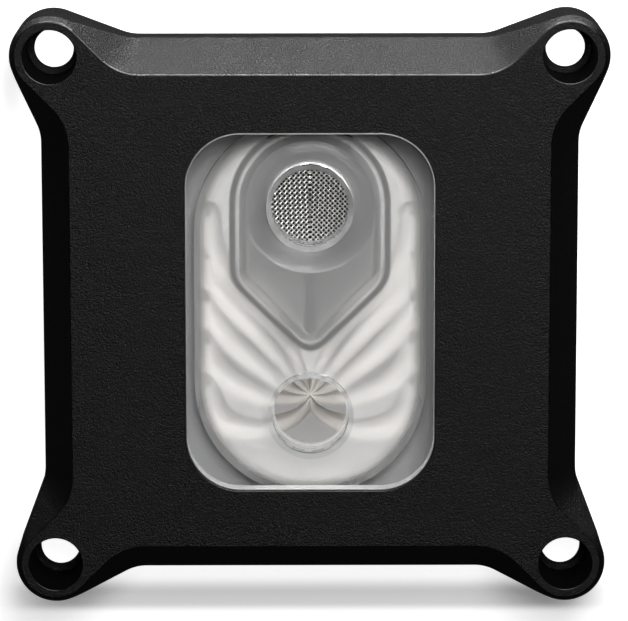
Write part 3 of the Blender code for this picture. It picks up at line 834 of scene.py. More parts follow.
fits = {"seat": 0.30 * mm, "slide": 0.25 * mm}
blockSizes = {
    "flangeHalf": (blockHigh.x, blockHigh.y),
    "flangeTop": 10.5 * mm,
    "flangeCorner": 10.5 * mm,
    "chamberHalf": (17.7 * mm, 29.4 * mm),
    "ceiling": blockHigh.z - 6.4 * mm,
    # inward and down from the ceiling at the chamber's edge, out and up at the inlet's boss
    "ceilingEdge": ((0.0, 1.5), (0.9, 0.78), (1.3, 0.42), (1.8, 0.18), (2.4, 0.05), (2.8, 0.0)),
    "bossDrop": 1.1 * mm,
    "bossEdge": ((5.9, 0.0), (6.8, 0.14), (7.7, 0.5), (8.5, 1.0), (9.2, 1.5), (9.8, 1.85), (10.3, 2.05),
                 (10.8, 2.13)),
    "bossFlare": 0.1 * mm,
    "plenumWall": 1.0 * mm,
    "plenumStraight": 0.1 * mm,
    "plenumRise": 1.0 * mm,
    "plenumLean": 1.6 * mm,
    "plenumEase": (0.6, 0.7),     # shares of lean and rise where the wall turns flatter
    "boreRadius": 5.85 * mm,
    "threadDepth": 0.52 * mm,
    "threadPitch": 1.337 * mm,
    "threadHalf": 0.36,           # shares of the pitch
    "threadFade": 0.6,
    "threadSteps": 12,
    "threadStart": 0.9 * mm,      # below the lead-in
    "threadFoot": 0.4 * mm,
    "portSteps": 96,
    "mouthRadius": 6.6 * mm,
    "leadIn": 0.53 * mm,
    "leadInEase": ((0.0, 1.0), (0.06, 0.88), (0.94, 0.06), (1.0, 0.0)),
    "throatRadius": 5.50 * mm,    # ledge at the foot of the outlet
    "throatRise": 0.9 * mm,
    "throatOverlap": 0.5 * mm,
    "topEdge": 0.13 * mm,
    "sealInset": 1.95 * mm,
    "sealRoom": 0.9 * mm,
    "sealHeight": 1.5 * mm,
}


def screwPlaces():
    return [
        ((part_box(name)[0].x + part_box(name)[1].x) / 2, (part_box(name)[0].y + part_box(name)[1].y) / 2)
        for name in screwNames
    ]


screwNames = sorted(name for name in nodes if name.startswith("plate_screw"))
screwSizes = {
    "shank": 1.5 * mm,
    "head": 2.5 * mm,
    "land": 0.3 * mm,
    "length": 7.4 * mm,
    "socket": 1.0 * mm,           # half across flats
    "socketDepth": 1.2 * mm,
    "edge": 0.08 * mm,
    "threadFrom": 0.2 * mm,
    "threadPitch": 0.5 * mm,
    "threadDepth": 0.16 * mm,
    "point": (0.35 * mm, 0.4 * mm),
    "gap": 0.30 * mm,
    "spare": 1.0 * mm,
}


def buildFrame():
    size = frameSizes
    body = frameBody()
    paint(body, [blackAnodised])
    shape = bmesh.new()
    for sx in (-1, 1):
        for sy in (-1, 1):
            ear = (sx * size["earAt"], sy * size["earAt"])
            ledge = frameLow.z + size["ledge"]
            edge = size["rimEdge"]
            profile = [
                (size["hole"] + edge * 2, frameLow.z - mm),
                (size["hole"] + edge * 2, frameLow.z),
                (size["hole"], frameLow.z + edge * 2),
                (size["hole"], ledge - edge),
                (size["hole"] + edge, ledge),
                (size["counterbore"] - edge * 2, ledge),
                (size["counterbore"] - edge, ledge + edge),
                (size["counterbore"] - edge, frameHigh.z - edge),
                (size["counterbore"] - edge * 0.7, frameHigh.z - edge * 0.3),
                (size["counterbore"], frameHigh.z),
                (size["counterbore"], frameHigh.z + mm),
            ]
            loftInto(shape, [raised(circle(ear, radius, 72), z) for radius, z in profile])
    halfX, halfY = size["windowHalf"]

    def opening(out):
        out -= size["rimEdge"]
        return roundedBox(halfX + out, halfY + out, size["windowCorner"] + out, 26)

    loftInto(shape, flared(opening, frameLow.z - mm, frameHigh.z, size["rimEdge"]))
    combine(body, fromBmesh("openings", shape))
    flange = blockSizes["flangeHalf"]
    gap = fits["slide"]
    pocket = roundedBox(flange[0] + gap, flange[1] + gap, blockSizes["flangeCorner"] + gap, 16)
    combine(body, prism("pocket", pocket, frameLow.z - mm, blockSizes["flangeTop"] + fits["seat"]))
    recess = roundedBox(plateHigh.x + gap, plateHigh.y + gap, plateSizes["corner"] + gap, 16)
    shape = bmesh.new()
    for centre in screwPlaces():
        hole = circle(centre, screwSizes["shank"] + screwSizes["gap"], 24)
        top = plateLow.z + plateSizes["padHeight"] + screwSizes["length"] + screwSizes["spare"]
        loftInto(shape, [raised(hole, plateHigh.z - mm), raised(hole, top)])
    holes = fromBmesh("screwHoles", shape)
    combine(body, prism("recess", recess, frameLow.z - mm, plateHigh.z + fits["seat"]))
    combine(body, holes)
    steep, flat = size["bareTilt"]

    def bareEdge(face):                        # the broken edges round the face and its openings
        high = face.center.z > frameHigh.z - size["bareBand"]
        return anodisedEdge if high and steep < face.normal.z < flat else None

    body.data.materials.append(anodisedEdge)
    repaint(body, [blackAnodised, anodisedEdge], bareEdge)
    smooth(body, 32.0, weighted=True)
    place(body, "frame_black", "top_frame")
    print("frame:", len(body.data.polygons), "faces")


# window block

def threadRings(centre, bottom, top):
    size = blockSizes
    pitch, steps = size["threadPitch"], size["portSteps"]
    fadeOver = size["threadFade"] * pitch
    rings = []
    z = bottom
    while z < top:
        fade = min(1.0, (top - z) / fadeOver, (z - bottom) / fadeOver)
        ring = []
        for k in range(steps):
            turn = math.tau * k / steps
            phase = ((z - bottom) / pitch - k / steps) % 1.0
            cut = max(0.0, 1.0 - abs(phase - 0.5) / size["threadHalf"]) * fade
            radius = size["boreRadius"] + size["threadDepth"] * cut
            ring.append((centre[0] + radius * math.cos(turn), centre[1] + radius * math.sin(turn), z))
        rings.append(ring)
        z += pitch / size["threadSteps"]
    return rings


def portCutter(name, sy, foot):
    size = blockSizes
    centre = (0.0, sy * portY)
    top, steps = blockHigh.z, size["portSteps"]
    bore, mouth, leadIn = size["boreRadius"], size["mouthRadius"], size["leadIn"]
    rings = [raised(circle(centre, bore, steps), foot)]
    rings += threadRings(centre, foot + size["threadFoot"], top - leadIn - size["threadStart"])
    for wider, lower in size["leadInEase"]:
        rings.append(raised(circle(centre, bore + (mouth - bore) * wider, steps), top - leadIn * lower))
    rings.append(raised(circle(centre, mouth, steps), top + mm))
    return loft(name, rings)


def sealOutline(out, steps):
    size = blockSizes
    inwards = size["sealInset"] - out
    halfX, halfY = size["flangeHalf"]
    return roundedBox(halfX - inwards, halfY - inwards, size["flangeCorner"] - inwards, steps)


def cut(block, tool, skin):
    paint(tool, blockSkins, skin)
    combine(block, tool)


blockSkins = [clearAcrylic, satinAcrylic, sawnAcrylic, edgeAcrylic, boredAcrylic, shadedFootAcrylic]


def buildBlock():
    size = blockSizes
    windowX, windowY = frameSizes["windowHalf"]
    gap = fits["slide"]
    corner = frameSizes["windowCorner"] - gap
    edge = size["topEdge"]

    def boss(out):
        return roundedBox(windowX - gap + out, windowY - gap + out, corner + out, 26)

    flange = roundedBox(*size["flangeHalf"], size["flangeCorner"], 26)
    top = blockHigh.z
    block = loft("windowBlock", [
        raised(flange, blockLow.z),
        raised(flange, size["flangeTop"]),
        raised(boss(0.0), size["flangeTop"]),
        raised(boss(0.0), top - edge),
        raised(boss(-edge * 0.3), top - edge * 0.3),
        raised(boss(-edge), top),
    ])

    def outerSkin(face):                       # sawn sides and the scraped edge of the top
        if abs(face.normal.z) < 0.97:
            return edgeAcrylic if face.center.z > top - edge else sawnAcrylic
        return shadedFootAcrylic if face.normal.z < 0 else clearAcrylic

    paint(block, blockSkins)
    repaint(block, blockSkins, outerSkin)
    bossBottom = size["ceiling"] - size["bossDrop"]
    ceiling = size["ceiling"]
    halfX, halfY = size["chamberHalf"]
    rings = [raised(roundedEnds(halfX, halfY), blockLow.z - mm)]
    for inset, drop in size["ceilingEdge"]:
        rings.append(raised(roundedEnds(halfX - inset * mm, halfY - inset * mm), ceiling - drop * mm))
    hollow = loft("chamber", rings)
    wall, lean, climb = size["plenumWall"], size["plenumLean"], size["plenumRise"]
    leanShare, climbShare = size["plenumEase"]
    plenum = loft("plenum", [
        raised(shield(wall), ceiling - size["bossDrop"] / 2),
        raised(shield(wall), ceiling + size["plenumStraight"]),
        raised(shield(wall + lean * leanShare), ceiling + climb * climbShare),
        raised(shield(wall + lean), ceiling + climb),
    ])
    combine(hollow, plenum, "UNION")
    profile = [(out * mm, bossBottom + rise * mm) for out, rise in size["bossEdge"]]
    profile.append((profile[-1][0] + size["bossFlare"], top))
    combine(hollow, turned("boss", (0.0, portY), profile, 120))
    cut(block, hollow, satinAcrylic)
    throat = circle((0.0, -portY), size["throatRadius"], size["portSteps"])
    ledge = ceiling + size["throatRise"]
    cut(block, prism("throat", throat, ceiling - mm, ledge + size["throatOverlap"]), satinAcrylic)
    for sy, foot in ((1, bossBottom - mm), (-1, ledge)):

        def portSkin(face):                    # the ledge is left milled, the inlet's lead-in scraped
            if face.normal.z < -0.9:
                return satinAcrylic
            return edgeAcrylic if sy > 0 and face.center.z > top - size["leadIn"] else boredAcrylic

        tool = portCutter("port", sy, foot)
        paint(tool, blockSkins)
        repaint(tool, blockSkins, portSkin)
        combine(block, tool)
    seat = circle((0.0, portY), meshHigh.x + gap, size["portSteps"])
    cut(block, prism("meshSeat", seat, bossBottom - mm, meshHigh.z + fits["seat"]), satinAcrylic)
    room = size["sealRoom"]
    low, high = blockLow.z - mm, blockLow.z + size["sealHeight"]
    corners = ((-room, low), (room, low), (room, high), (-room, high))
    groove = loft("sealGroove", [raised(sealOutline(out, 16), z) for out, z in corners], closed=True)
    cut(block, groove, satinAcrylic)
    smooth(block, 30.0, weighted=True)
    place(block, "window_clear", "window_block")
    print("window block:", len(block.data.polygons), "faces")


# flow guide

guideSizes = {
    "fluteDepth": 2.3 * mm,
    "toolWide": 2.35 * mm,
    "toolNarrow": 0.45 * mm,
    "burstY": -14.5 * mm,         # where the flutes meet under the outlet
    "flutes": (                   # angle at the outlet, pull at the well and at the outlet
        (12.0, 0.42, 0.55),
        (34.0, 0.20, 0.55),
        (63.0, 0.20, 0.22),
        (100.0, 0.36, 0.26),
        (165.0, 0.62, 0.32),
    ),
    "fluteSteps": 160,
    "wellCount": 5,
    "wellPitch": 6.6 * mm,
    "wellRadius": 0.45 * mm,
    "wellX": 15.9 * mm,
    "wellLowest": -12.2 * mm,
    "rim": (2.8 * mm, 1.6 * mm),  # rounding that follows the chamber's ceiling
    "funnelWall": 1.4 * mm,
    "funnelDepth": 3.0 * mm,
    "funnelRun": 2.6 * mm,
    "slotHalf": 0.9 * mm,
    "slotStart": 9.0 * mm,
    "slotLength": 11.6 * mm,
    "grooveHalf": 0.46 * mm,
    "dimple": (1.5 * mm, 1.8 * mm, 4.4 * mm, 2.2 * mm),   # half width, rise, run and depth
    "coarse": 0.32 * mm,          # grid, and close to the outlet
    "fine": 0.11 * mm,
    "fineReach": 6.6 * mm,
}


def wellAt(side, index):
    size = guideSizes
    return side * size["wellX"], size["wellLowest"] + index * size["wellPitch"]


def wellPlaces():
    return [wellAt(side, index) for side in (-1, 1) for index in range(guideSizes["wellCount"])]


def fluteLines():
    size = guideSizes
    shape = bmesh.new()
    along = shape.verts.layers.float.new("along")
    for side in (-1, 1):
        for index in range(size["wellCount"]):
            well = Vector(wellAt(side, size["wellCount"] - 1 - index))
            degrees, wellPull, outletPull = size["flutes"][index]
            angle = math.radians(degrees)
            outwards = Vector((side * math.sin(angle), math.cos(angle)))
            end = Vector((0.0, size["burstY"])) + outwards * size["toolNarrow"] * 0.6
            reach = (well - end).length
            first = well - Vector((0.0, reach * wellPull))
            second = end + outwards * reach * outletPull
            last = None
            for i in range(size["fluteSteps"] + 1):
                t = i / size["fluteSteps"]
                u = 1.0 - t
                at = u**3 * well + 3 * u * u * t * first + 3 * u * t * t * second + t**3 * end
                vert = shape.verts.new((at.x, at.y, guideHigh.z))
                vert[along] = t
                if last:
                    shape.edges.new((last, vert))
                last = vert
    return settle("fluteLines", shape)


def wellSpots():
    data = bpy.data.meshes.new("wellSpots")
    data.from_pydata([(x, y, guideHigh.z) for x, y in wellPlaces()], [], [])
    return addObject("wellSpots", data)


def fluteTree():
    tree, graph, given = newTree("guideFlutes", {
        "Geometry": ["Geometry"],
        "Object": ["Lines", "Wells"],
        "Float": ["Wide Tool", "Narrow Tool", "Depth", "Dimple Width", "Dimple Rise", "Dimple Run",
                  "Dimple Depth", "Top", "Half Width", "Straight", "Rim Width", "Rim Drop"],
        "Material": ["Finish"],
    })
    lines = graph.add("GeometryNodeObjectInfo", None, {"Object": given.also("Lines")}, out="Geometry")
    wells = graph.add("GeometryNodeObjectInfo", None, {"Object": given.also("Wells")}, out="Geometry")
    flat = graph.add("GeometryNodeInputPosition")
    near = graph.add("GeometryNodeProximity", {"target_element": "EDGES"},
                     {0: lines, "Sample Position": flat}, out="Distance")
    which = graph.add("GeometryNodeSampleNearest", {"domain": "POINT"},
                      {"Geometry": lines, "Sample Position": flat})
    stored = graph.add("GeometryNodeInputNamedAttribute", {"data_type": "FLOAT"}, {"Name": "along"})
    along = graph.add("GeometryNodeSampleIndex", {"data_type": "FLOAT", "domain": "POINT"},
                      {"Geometry": lines, "Value": stored, "Index": which})
    wide = given.also("Wide Tool")
    tool = wide + (given.also("Narrow Tool") - wide) * along * along
    share = near / tool
    flute = (1.0 - share * share).most(0.0) ** 0.9 * given.also("Depth")
    spot = graph.add("GeometryNodeProximity", {"target_element": "POINTS"},
                     {0: wells, "Sample Position": flat})
    away = graph.add("ShaderNodeVectorMath", {"operation": "SUBTRACT"}, {0: flat, 1: spot})
    split = graph.add("ShaderNodeSeparateXYZ", None, {"Vector": away}, out="X")
    across, up = split / given.also("Dimple Width"), split.also("Y")
    rise = up.most(0.0) / given.also("Dimple Rise")
    run = up.least(0.0) / given.also("Dimple Run")
    reach = (across * across + rise * rise + run * run).calc("SQRT")
    dimple = graph.ramp(reach, 0.1, 1.0, 1.0, 0.0) * given.also("Dimple Depth")
    height = graph.add("ShaderNodeSeparateXYZ", None, {"Vector": flat}, out="Z")
    onTop = height.calc("COMPARE", given.also("Top"), third=0.01 * mm)
    past = (height.also("Y").calc("ABSOLUTE") - given.also("Straight")).most(0.0)
    sideways = height.also("X")
    away = given.also("Half Width") - (sideways * sideways + past * past).calc("SQRT")
    close = (1.0 - away / given.also("Rim Width")).clamp()
    rounding = (1.0 - (1.0 - close * close).calc("SQRT")) * given.also("Rim Drop")
    move = graph.add("ShaderNodeCombineXYZ", None, {"Z": flute.most(dimple).most(rounding) * onTop * -1.0})
    shaped = graph.add("GeometryNodeSetPosition", None, {"Geometry": given, "Offset": move})
    endTree(graph, shaped, given.also("Finish"))
    return tree


def stops(low, high, fineLow, fineHigh):
    # places along a line, close together between fineLow and fineHigh
    size = guideSizes
    found = [low]
    while found[-1] < high - size["fine"] * 0.5:
        here = found[-1]
        away = max(fineLow - here, here - fineHigh, 0.0)
        step = min(size["coarse"], size["fine"] + away * 0.12)
        found.append(min(high, here + step))
    return found


def guideBlank():
    size = guideSizes
    halfX, halfY = guideHigh.x, guideHigh.y
    straight = halfY - halfX
    half = stops(0.0, halfX, 0.0, size["fineReach"])
    across = [-x / halfX for x in reversed(half[1:])] + [x / halfX for x in half]
    lastY = straight + halfX * math.sin(math.radians(88.5))
    rows = []
    for y in stops(-lastY, lastY, -portY - size["fineReach"], -portY + size["fineReach"]):
        past = max(0.0, abs(y) - straight)
        rows.append((y, math.sqrt(halfX**2 - past**2)))
    shape = bmesh.new()
    grid = [[shape.verts.new((reach * share, y, guideHigh.z)) for share in across] for y, reach in rows]
    for low, high in zip(grid, grid[1:]):
        for k in range(len(across) - 1):
            shape.faces.new((low[k], low[k + 1], high[k + 1], high[k]))
    border = grid[0] + [row[-1] for row in grid[1:]] + grid[-1][-2::-1] + [row[0] for row in grid[-2:0:-1]]
    foot = [shape.verts.new((vert.co.x, vert.co.y, guideLow.z)) for vert in border]
    for i, vert in enumerate(border):
        following = (i + 1) % len(border)
        shape.faces.new((vert, foot[i], foot[following], border[following]))
    shape.faces.new(list(reversed(foot)))
    return fromBmesh("flowGuide", shape)


def buildGuide():
    size = guideSizes
    guide = guideBlank()
    lines = fluteLines()
    spots = wellSpots()
    dimple = size["dimple"]
    grow(guide, fluteTree(), {
        "Lines": lines,
        "Wells": spots,
        "Dimple Width": dimple[0],
        "Dimple Rise": dimple[1],
        "Dimple Run": dimple[2],
        "Dimple Depth": dimple[3],
        "Wide Tool": size["toolWide"],
        "Narrow Tool": size["toolNarrow"],
        "Depth": size["fluteDepth"],
        "Top": guideHigh.z,
        "Half Width": guideHigh.x,
        "Straight": guideHigh.y - guideHigh.x,
        "Rim Width": size["rim"][0],
        "Rim Drop": size["rim"][1],
        "Finish": frostedGuide,
    })
    bpy.data.objects.remove(lines, do_unlink=True)
    bpy.data.objects.remove(spots, do_unlink=True)
    skins = [frostedGuide, shadedFunnel]
    paint(guide, skins)
    top = guideHigh.z
    shape = bmesh.new()
    for at in wellPlaces():
        hole = circle(at, size["wellRadius"], 40)
        loftInto(shape, [raised(hole, guideLow.z - mm), raised(hole, top + mm)])
    tool = fromBmesh("wells", shape)
    paint(tool, skins)
    combine(guide, tool)
    outer = shield(blockSizes["plenumWall"])
    inner = shield(blockSizes["plenumWall"] + size["funnelRun"])
    funnel = loft("funnel", [
        raised(inner, top - size["funnelDepth"]),
        raised(outer, top - size["funnelWall"]),
        raised(outer, top + mm),
    ])
    paint(funnel, skins, shadedFunnel)
    combine(guide, funnel)
    slotMiddle = portY - size["slotStart"] - size["slotLength"] / 2
    slot = [(x, y + slotMiddle) for x, y in
            roundedBox(size["slotHalf"], size["slotLength"] / 2, size["slotHalf"] * 0.98, 8)]
    tool = prism("slot", slot, guideLow.z - mm, top + mm)
    # the slot's faces take the funnel's painted shade
    paint(tool, skins, shadedFunnel)
    combine(guide, tool)
    floor = dividerLow.z - fits["seat"] / 2
    half = size["grooveHalf"]
    groove = loft("groove", [
        raised(shield(half), floor),
        raised(shield(-half), floor),
        raised(shield(-half), top + mm),
        raised(shield(half), top + mm),
    ], closed=True)
    paint(groove, skins)
    combine(guide, groove)
    smooth(guide, 38.0)
    place(guide, "guide_frosted", "flow_guide")
    print("flow guide:", len(guide.data.polygons), "faces")


# seals

def roundedSection(halfWide, low, high, radius, steps=4):
    halfHigh = (high - low) / 2
    middle = (low + high) / 2
    return [(out, middle + up) for out, up in roundedBox(halfWide, halfHigh, radius, steps)]


dividerSizes = {"halfWide": 0.40 * mm, "rounding": 0.22 * mm}


def buildDivider():
    size = dividerSizes
    section = roundedSection(size["halfWide"], dividerLow.z, dividerHigh.z, size["rounding"])
    seal = loft("dividerSeal", [raised(shield(-out), z) for out, z in section], closed=True)
    paint(seal, [greySilicone])
    smooth(seal, 60.0)
    place(seal, "divider_grey", "divider_seal")


def buildBaseSeal():
    halfWide = baseSealHigh.x - (blockSizes["flangeHalf"][0] - blockSizes["sealInset"])
    middle, halfHigh = (baseSealLow.z + baseSealHigh.z) / 2, (baseSealHigh.z - baseSealLow.z) / 2
    rings = []
    for k in range(16):
        turn = math.tau * k / 16
        rings.append(raised(sealOutline(halfWide * math.cos(turn), 14), middle + halfHigh * math.sin(turn)))
    seal = loft("baseSeal", rings, closed=True)
    paint(seal, [blackRubber])
    smooth(seal, 60.0)
    place(seal, "seal_black", "base_seal")


# filter

weaveSizes = {
    "pitch": 0.54 * mm,
    "wire": 0.12 * mm,            # wire radius
    "lift": 0.09 * mm,
    "proud": 0.04 * mm,           # how far the first wires stand above the second
    "angle": math.radians(48.0),  # of the first wires, mirrored at the middle
    "thinner": 0.8,               # share of the first wires' radius in the second
    "sides": 6,
    "inset": 0.25 * mm,
    "rimWidth": 0.55 * mm,
    "rimSink": 0.05 * mm,
}


def weaveLines(direction):
    size = weaveSizes
    radius = meshHigh.x - size["inset"]
    shape = bmesh.new()
    first = shape.verts.layers.float.new("first")
    second = shape.verts.layers.float.new("second")
    angle = size["angle"] + (math.pi / 2 if direction else 0.0)
    way = Vector((math.cos(angle), math.sin(angle)))
    across = Vector((-way.y, way.x))
    count = int(radius / size["pitch"])

    def add(point):                            # coordinates in the weave of the left half
        vert = shape.verts.new((point.x, portY + point.y, (meshLow.z + meshHigh.z) / 2))
        left = Vector((-abs(point.x), point.y))
        pair = (left.dot(way), left.dot(across))
        vert[first], vert[second] = pair if not direction else (pair[1], pair[0])
        return vert

    for k in range(-count, count + 1):
        base = across * (k * size["pitch"])
        reach = radius**2 - base.length_squared
        if reach <= 0:
            continue
        ends = [base - way * math.sqrt(reach), base + way * math.sqrt(reach)]
        ends.sort(key=lambda point: point.x)
        if ends[0].x >= 0:
            continue
        t = -base.x / way.x
        seam = base + way * t                  # where the wire reaches the middle
        if ends[1].x > 0:
            chain = [ends[0], seam, Vector((-ends[0].x, ends[0].y))]
            made = [add(point) for point in chain]
            shape.edges.new((made[0], made[1]))
            shape.edges.new((made[1], made[2]))
        else:
            for flip in (1, -1):
                made = [add(Vector((flip * point.x, point.y))) for point in ends]
                shape.edges.new(made)
    return settle("weaveLines", shape)


def weaveTree():
    tree, graph, given = newTree("wovenWires", {
        "Geometry": ["Geometry"],
        "Float": ["Pitch", "Wire", "Lift", "Rise"],
        "Int": ["Sides"],
        "Material": ["Finish"],
    })
    curve = graph.add("GeometryNodeMeshToCurve", None, {"Mesh": given})
    pitch = given.also("Pitch")
    fine = graph.add(
        "GeometryNodeResampleCurve", {"mode": "LENGTH"}, {"Curve": curve, "Length": pitch / 4.0}
    )
    one = graph.add("GeometryNodeInputNamedAttribute", {"data_type": "FLOAT"}, {"Name": "first"})
    two = graph.add("GeometryNodeInputNamedAttribute", {"data_type": "FLOAT"}, {"Name": "second"})
    wave = (one / pitch * math.pi).calc("COSINE") * (two / pitch * math.pi).calc("COSINE")
    move = graph.add("ShaderNodeCombineXYZ", None, {"Z": wave * given.also("Lift") + given.also("Rise")})
    bent = graph.add("GeometryNodeSetPosition", None, {"Geometry": fine, "Offset": move})
    section = graph.add("GeometryNodeCurvePrimitiveCircle", None,
                        {"Resolution": given.also("Sides"), "Radius": given.also("Wire")})
    swept = graph.add("GeometryNodeCurveToMesh", None,
                      {"Curve": bent, "Profile Curve": section, "Fill Caps": True})
    endTree(graph, swept, given.also("Finish"))
    return tree


def buildMesh():
    size = weaveSizes
    tree = weaveTree()
    parts = []
    for direction, sign in ((False, 1.0), (True, -1.0)):
        parts.append(grow(weaveLines(direction), tree, {
            "Pitch": size["pitch"],
            "Wire": size["wire"] * (size["thinner"] if direction else 1.0),
            "Lift": size["lift"] * sign,
            "Rise": 0.0 if direction else size["proud"],
            "Sides": size["sides"],
            "Finish": wireSteel,
        }))
    low, high, width = meshLow.z + size["rimSink"], meshHigh.z - size["rimSink"], size["rimWidth"]
    parts.append(loft("rim", [
        raised(circle((0.0, portY), meshHigh.x - inset, 96), z)
        for inset, z in ((width, low), (0.0, low), (0.0, high), (width, high))
    ], closed=True))
    mesh = joinMeshes("filterMesh", parts)
    paint(mesh, [wireSteel])
    smooth(mesh, 50.0)
    place(mesh, "filter_steel", "filter_mesh")
    print("filter mesh:", len(mesh.data.polygons), "faces")


ringSizes = {"width": 0.8 * mm, "edge": 0.12 * mm}


def buildRing():
    edge, outer = ringSizes["edge"], ringHigh.x
    inner = outer - ringSizes["width"]
    low, high = ringLow.z, ringHigh.z
    corners = [
        (inner + edge, low), (outer - edge, low), (outer, low + edge), (outer, high - edge),
        (outer - edge, high), (inner + edge, high), (inner, high - edge), (inner, low + edge),
    ]
    ring = loft("filterRing", [
        raised(circle((0.0, portY), radius, 96), z) for radius, z in corners
    ], closed=True)
    paint(ring, [ringSteel])
    smooth(ring, 30.0)
    place(ring, "filter_steel", "filter_ring")


# cold plate and its screws

plateSizes = {
    "padHeight": 1.0 * mm,        # underside of the plate above the contact face
    "padHalf": 17.0 * mm,
    "padCorner": 3.0 * mm,
    "padFillet": 0.5 * mm,
    "padEdge": 0.12 * mm,
    "padSunk": 0.7 * mm,
    "corner": 6.0 * mm,
    "edge": 0.4 * mm,
    "poolHalf": (17.4 * mm, 18.0 * mm),
    "poolCorner": 2.5 * mm,
    "poolDepth": 2.0 * mm,
    "finCount": 74,
    "finPitch": 0.40 * mm,
    "finWall": 0.18 * mm,
    "finLength": 29.0 * mm,
    "finDrop": 0.1 * mm,
    "finSunk": 0.05 * mm,
}


def finTree():
    tree, graph, given = newTree("coldPlateFins", {
        "Int": ["Count"],
        "Float": ["Pitch", "Length", "Wall", "Bottom", "Top"],
        "Material": ["Finish"],
    })
    pitch, top, bottom = given.also("Pitch"), given.also("Top"), given.also("Bottom")
    start = graph.add("ShaderNodeCombineXYZ", None, {
        "Y": (given.also("Count") - 1.0) * pitch * -0.5, "Z": (top + bottom) * 0.5,
    })
    step = graph.add("ShaderNodeCombineXYZ", None, {"Y": pitch})
    row = graph.add("GeometryNodeMeshLine", {"mode": "OFFSET"},
                    {"Count": given.also("Count"), "Start Location": start, "Offset": step})
    sizeOf = graph.add("ShaderNodeCombineXYZ", None,
                       {"X": given.also("Length"), "Y": given.also("Wall"), "Z": top - bottom})
    fin = graph.add("GeometryNodeMeshCube", None, {"Size": sizeOf})
    spread = graph.add("GeometryNodeInstanceOnPoints", None, {"Points": row, "Instance": fin})
    endTree(graph, spread, given.also("Finish"))
    return tree


def buildPlate():
    size = plateSizes
    bottom, top = plateLow.z + size["padHeight"], plateHigh.z
    edge = size["edge"]

    def outline(inset):
        return roundedBox(plateHigh.x - inset, plateHigh.y - inset, size["corner"] - inset, 14)

    plate = loft("coldPlate", [
        raised(outline(edge), bottom),
        raised(outline(edge * 0.3), bottom + edge * 0.3),
        raised(outline(0.0), bottom + edge),
        raised(outline(0.0), top - edge * 0.4),
        raised(outline(edge * 0.4), top),
    ])
    paint(plate, [groundNickel])
    half, corner, fillet = size["padHalf"], size["padCorner"], size["padFillet"]
    profile = (
        (-size["padEdge"], 0.0), (0.0, size["padEdge"]), (0.0, bottom - fillet),
        (fillet * 0.3, bottom - fillet * 0.3), (fillet, bottom), (fillet, bottom + size["padSunk"]),
    )
    pad = [raised(roundedBox(half + out, half + out, corner + out, 10), z) for out, z in profile]
    combine(plate, loft("pad", pad), "UNION")
    floor = top - size["poolDepth"]
    combine(plate, prism("pool", roundedBox(*size["poolHalf"], size["poolCorner"], 10), floor, top + mm))
    shape = bmesh.new()
    for centre in screwPlaces():
        bore = screwSizes["shank"] + screwSizes["gap"]
        head = screwSizes["head"] + screwSizes["gap"]
        land = bottom + screwSizes["land"]
        profile = [(head, bottom - mm), (head, land), (bore, land + head - bore), (bore, top + mm)]
        loftInto(shape, [raised(circle(centre, radius, 40), z) for radius, z in profile])
    combine(plate, fromBmesh("screwSeats", shape))
    fins = grow(addObject("fins", bpy.data.meshes.new("fins")), finTree(), {
        "Count": size["finCount"],
        "Pitch": size["finPitch"],
        "Length": size["finLength"],
        "Wall": size["finWall"],
        "Bottom": floor - size["finSunk"],
        "Top": top - size["finDrop"],
        "Finish": groundNickel,
    })
    plate = joinMeshes("coldPlate", [plate, fins])
    paint(plate, [groundNickel])
    smooth(plate, 30.0, weighted=True)
    place(plate, "plate_nickel", "cold_plate")
    print("cold plate:", len(plate.data.polygons), "faces")


def screwTree():
    tree, graph, given = newTree("plateScrews", {
        "Geometry": ["Geometry"],
        "Object": ["Screw"],
        "Material": ["Finish"],
    })
    one = graph.add("GeometryNodeObjectInfo", None, {"Object": given.also("Screw")}, out="Geometry")
    spread = graph.add("GeometryNodeInstanceOnPoints", None, {"Points": given, "Instance": one})
    endTree(graph, spread, given.also("Finish"))
    return tree


def buildScrews():
    size = screwSizes
    head, shank, edge, pitch = size["head"], size["shank"], size["edge"], size["threadPitch"]
    low = plateLow.z + plateSizes["padHeight"]
    land = low + size["land"]
    neckAt = land + head - shank
    end = low + size["length"]
    profile = [(head - edge, low), (head, low + edge), (head, land), (shank, neckAt)]
    z = neckAt + size["threadFrom"]
    while z < end - pitch:
        profile += [(shank, z), (shank - size["threadDepth"], z + pitch / 2)]
        z += pitch
    inwards, length = size["point"]
    profile += [(shank, end - length), (shank - inwards, end)]
    screw = turned("screw", (0.0, 0.0), profile, 40)
    socket = circle((0.0, 0.0), size["socket"] / math.cos(math.pi / 6), 6)
    combine(screw, prism("socket", socket, low - mm, low + size["socketDepth"]))
    spots = bpy.data.meshes.new("plateScrews")
    spots.from_pydata([(x, y, 0.0) for x, y in screwPlaces()], [], [])
    screws = grow(addObject("plateScrews", spots), screwTree(), {"Screw": screw, "Finish": screwSteel})
    bpy.data.objects.remove(screw, do_unlink=True)
    smooth(screws, 30.0)
    place(screws, "screw_black", *screwNames)
    print("screws:", len(screws.data.polygons), "faces")


buildFrame()
buildBlock()
buildGuide()
buildDivider()
buildBaseSeal()
buildMesh()
buildRing()
buildPlate()
buildScrews()


# floor and light

